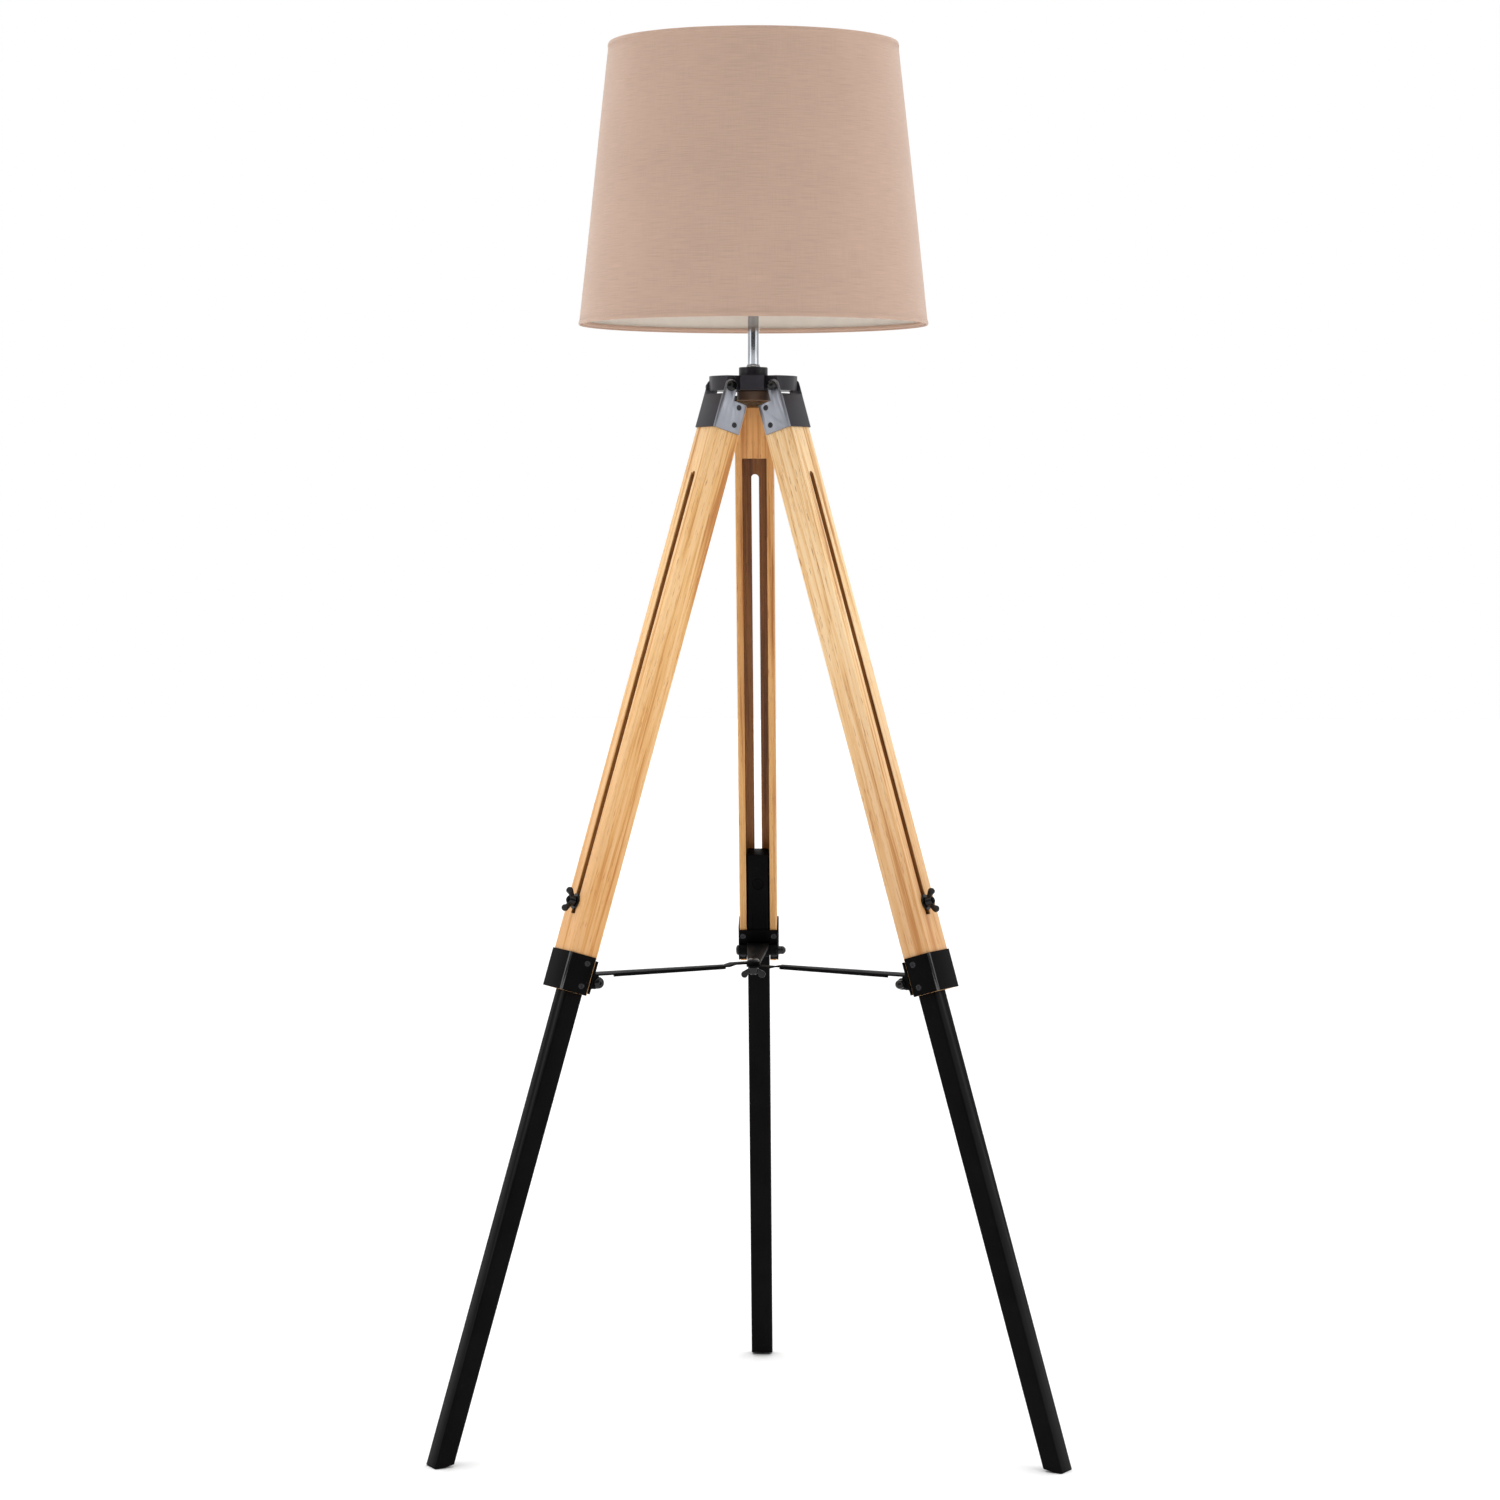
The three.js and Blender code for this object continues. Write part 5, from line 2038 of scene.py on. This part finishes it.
    def clamp(self) -> None:
        """The clamp's bolt, washer and wing nut."""
        body, tools = f"lower_leg_{self.name}", self.tools
        low, high = self.at.local_box(f"clamp_bolt_{self.name}")
        z = (low.z + high.z) / 2
        head, reach = (high.z - low.z) / 2, high.x - low.x
        radius, depth, tip = tools.clamp_bolt, tools.clamp_head_height, tools.clamp_tip
        profile = [(0, 0), (head, 0), (head, depth), (radius, depth), (radius, reach - tip),
                   (radius - tip, reach), (0, reach)]
        bolt = Piece(f"clamp_pin_{self.name}", turned(rounded(profile, 0.0003), 40),
                     self.at.matrix @ along_x(low.x, 0, z))
        bolt.smooth().dress(Finish.BLACK).mount(body, "black_metal", f"clamp_bolt_{self.name}")
        low, high = self.at.local_box(f"clamp_washer_{self.name}")
        ring = tools.washer(radius + SEAT_GAP, (high.y - low.y) / 2, high.x - low.x)
        washer = Piece(f"clamp_disc_{self.name}", ring, self.at.matrix @ along_x(low.x, 0, z))
        washer.smooth().dress(Finish.BOLT).mount(body, "steel", f"clamp_washer_{self.name}")
        low, high = self.at.local_box(f"wing_nut_{self.name}")
        nut = Piece(f"wing_{self.name}", tools.wing_nut(), self.at.matrix @ along_x(low.x, 0, z))
        nut.cast(tools.melt, tools.melt_rounds).dress(Finish.BOLT)
        nut.mount(f"clamp_nut_{self.name}", "black_metal", f"wing_nut_{self.name}")

    def strut(self) -> None:
        """The flat strut to the lamp's middle."""
        node = f"strut_{self.name}"
        piece = refined(f"spreader_bar_{self.name}", node, self.at.matrix)
        piece.edges(self.sheet_edge, 2, 25.0).dress(Finish.BLACK)
        piece.mount(f"spreader_{self.name}", "black_metal", node)

    def screws(self) -> None:
        """The countersunk screws in the bracket, the sleeve and the strut's plate."""
        kinds = (("bracket", "top_bracket", self.bracket_pitch),
                 ("sleeve", "lower_sleeve", self.sleeve_pitch))
        for kind, node, pitch in kinds:
            low, high = self.at.local_box(f"{node}_{self.name}")
            spots = [Vector((self.screw_line, side * (high.y + self.screw_proud),
                             low.z + self.screw_margin + step * pitch))
                     for step in (0, 1) for side in (-1, 1)]
            self.set_screws(kind, spots, [Vector((0, math.copysign(1, spot.y), 0)) for spot in spots])
        low, high = self.at.local_box(f"hinge_plate_{self.name}")
        above, below = self.strap_margins
        middle = (self.strap + high.y) / 2
        spots = [Vector((high.x - self.strap_thickness, side * middle, z))
                 for z in (high.z - above, low.z + below) for side in (-1, 1)]
        self.set_screws("plate", spots, [Vector((-1, 0, 0))] * len(spots))

    def set_screws(self, kind: str, spots: Sequence[Vector], facing: Sequence[Vector]) -> None:
        """Make and mount one set of screws.

        Args:
            kind: What they hold.
            spots: Where each head's face is, in the leg's frame.
            facing: Which way each head faces.
        """
        turn = self.at.matrix.to_3x3()
        seed = point_mesh([self.at.matrix @ p for p in spots], [turn @ f for f in facing])
        piece = self.screw.run(f"{kind}_screws_{self.name}", seed, Finish.SCREW,
                               head_radius=self.screw_radius, head_depth=self.screw_depth)
        piece.smooth().mount(f"leg_{self.name}", "steel")


@dataclass
class CentreJoint:
    """The bolt and wing nut that hold the three struts together."""

    head_height: float = 0.0034
    head_rim: float = 0.0008
    tools: Fasteners = field(default_factory=Fasteners)

    def build(self) -> None:
        """Make and mount both pieces."""
        tools = self.tools
        head, low, high = round_size("centre_bolt")
        seat, radius, tip = high - low - self.head_height, tools.clamp_bolt, tools.clamp_tip
        cap = dome(head, self.head_height - self.head_rim, seat + self.head_rim, 10)
        profile = [(0, 0), (radius - tip, 0), (radius, tip), (radius, seat), (head, seat), *cap]
        bolt = Piece("centre_pin", turned(profile, 44), on_axis(low))
        bolt.smooth().dress(Finish.BOLT).mount("spreader_left", "black_metal", "centre_bolt")
        _, _, high = round_size("centre_wing_nut")
        nut = Piece("centre_wing", tools.wing_nut(), on_axis(high) @ Matrix.Rotation(math.pi, 4, "X"))
        nut.cast(tools.melt, tools.melt_rounds).dress(Finish.BOLT)
        nut.mount("centre_nut", "black_metal", "centre_wing_nut")


# ------------------------------------------------------------------------------------------------
# Camera, light and floor
# ------------------------------------------------------------------------------------------------


@dataclass
class Studio:
    """The camera, the soft lights and the pale floor."""

    distance: float = 3.9718
    height: float = 0.9468
    tilt_down: float = 3.455
    turn: float = 1.645
    aside: float = 0.049
    lens: float = 92.45
    sensor: float = 36.0
    clip_end: float = 60.0
    front: float = 0.12                 # the backdrop's strength behind the camera
    zenith: float = 0.9                 # what is added to it overhead
    box_place: tuple[float, float, float] = (2.7, -1.5, 1.4)
    box_target: tuple[float, float, float] = (0.0, 0.0, 0.9)
    box_size: float = 1.8
    box_powers: tuple[float, float] = (16.0, 18.0)
    floor_half: float = 14.0
    floor_gap: float = 0.0005
    floor_colour: Colour = (0.955, 0.955, 0.955)

    def build(self) -> None:
        """Make everything that isn't the lamp."""
        self.camera()
        self.world()
        self.lights()
        self.floor()

    def camera(self) -> None:
        """The camera, a little to one side of the lamp's front."""
        data = bpy.data.cameras.new("camera")
        data.lens = self.lens
        data.sensor_width = self.sensor
        data.clip_end = self.clip_end
        camera = bpy.data.objects.new("camera", data)
        turn = math.radians(self.turn)
        reach = Vector((math.sin(turn), -math.cos(turn), 0)) * self.distance
        camera.location = lamp_axis() + reach + Vector((0, 0, self.height))
        camera.rotation_euler = (math.radians(90 - self.tilt_down), 0, math.radians(self.turn + self.aside))
        bpy.context.scene.collection.objects.link(camera)
        bpy.context.scene.camera = camera

    def world(self) -> None:
        """A white backdrop that wraps around the sides and falls off behind the camera."""
        world = bpy.data.worlds.new("studio")
        world.use_nodes = True
        tree = world.node_tree
        place = tree.nodes.new("ShaderNodeTexCoord")
        parts = tree.nodes.new("ShaderNodeSeparateXYZ")
        tree.links.new(place.outputs["Object"], parts.inputs[0])
        total = tree.nodes.new("ShaderNodeMath")
        slopes = (("Y", -0.8, 0.35, self.front, 1.0), ("Z", 0.35, 0.85, 0.0, self.zenith))
        for index, (axis, *limits) in enumerate(slopes):
            slope = tree.nodes.new("ShaderNodeMapRange")
            slope.interpolation_type = "SMOOTHSTEP"
            for name, value in zip(("From Min", "From Max", "To Min", "To Max"), limits):
                slope.inputs[name].default_value = value
            tree.links.new(parts.outputs[axis], slope.inputs["Value"])
            tree.links.new(slope.outputs["Result"], total.inputs[index])
        background = tree.nodes["Background"]
        background.inputs["Color"].default_value = (1.0, 1.0, 1.0, 1.0)
        tree.links.new(total.outputs["Value"], background.inputs["Strength"])
        bpy.context.scene.world = world
        bpy.context.scene.view_settings.view_transform = "Standard"

    def lights(self) -> None:
        """Large soft boxes on both sides."""
        x, y, z = self.box_place
        for name, side, power in zip(("box_left", "box_right"), (-1, 1), self.box_powers):
            data = bpy.data.lights.new(name, "AREA")
            data.size = self.box_size
            data.energy = power
            light = bpy.data.objects.new(name, data)
            light.location = (side * x, y, z)
            aim = Vector(self.box_target) - Vector((side * x, y, z))
            light.rotation_euler = aim.to_track_quat("-Z", "Y").to_euler()
            bpy.context.scene.collection.objects.link(light)

    def floor(self) -> None:
        """A pale floor that reaches far behind the lamp."""
        bm = bmesh.new()
        bmesh.ops.create_grid(bm, x_segments=2, y_segments=2, size=self.floor_half)
        mesh = bpy.data.meshes.new("floor")
        bm.to_mesh(mesh)
        bm.free()
        floor = bpy.data.objects.new("floor", mesh)
        floor.location.z = -self.floor_gap
        mesh.materials.append(Smooth("floor_paint", self.floor_colour, 0.95, 0.0, 1.5).build())
        bpy.context.scene.collection.objects.link(floor)


def dress_remaining() -> None:
    """Give every node that still shows its finish from the record's slots."""
    finishes = {finish.value.name: finish for finish in Finish}
    finishes["honey_wood"] = Finish.SHADED_WOOD_BACK
    slots = {row["node"]: row["material_slot"] for row in frame["record"]["subparts"]}
    for name, node in frame["nodes"].items():
        if node.hide_render:
            continue
        finish = finishes.get(slots.get(name, ""), Finish.BLACK)
        node.data.materials.clear()
        node.data.materials.append(finish.material())
        LOG.info("%s keeps its own shape, in %s", name, finish.value.name)


def main() -> None:
    """Build the lamp, from the shade down to the feet."""
    logging.basicConfig(level=logging.INFO, format="%(name)s: %(message)s")
    Studio().build()
    Shade().build()
    Lampholder().build()
    Column().build()
    screw = ScrewHead().tree()
    woods = {"back": Finish.SHADED_WOOD_BACK, "left": Finish.WOOD_LEFT, "right": Finish.WOOD_RIGHT}
    for at in LegFrame.all():
        Leg(at, woods[at.name], screw).build()
    CentreJoint().build()
    dress_remaining()


if __name__ == "__main__":
    main()
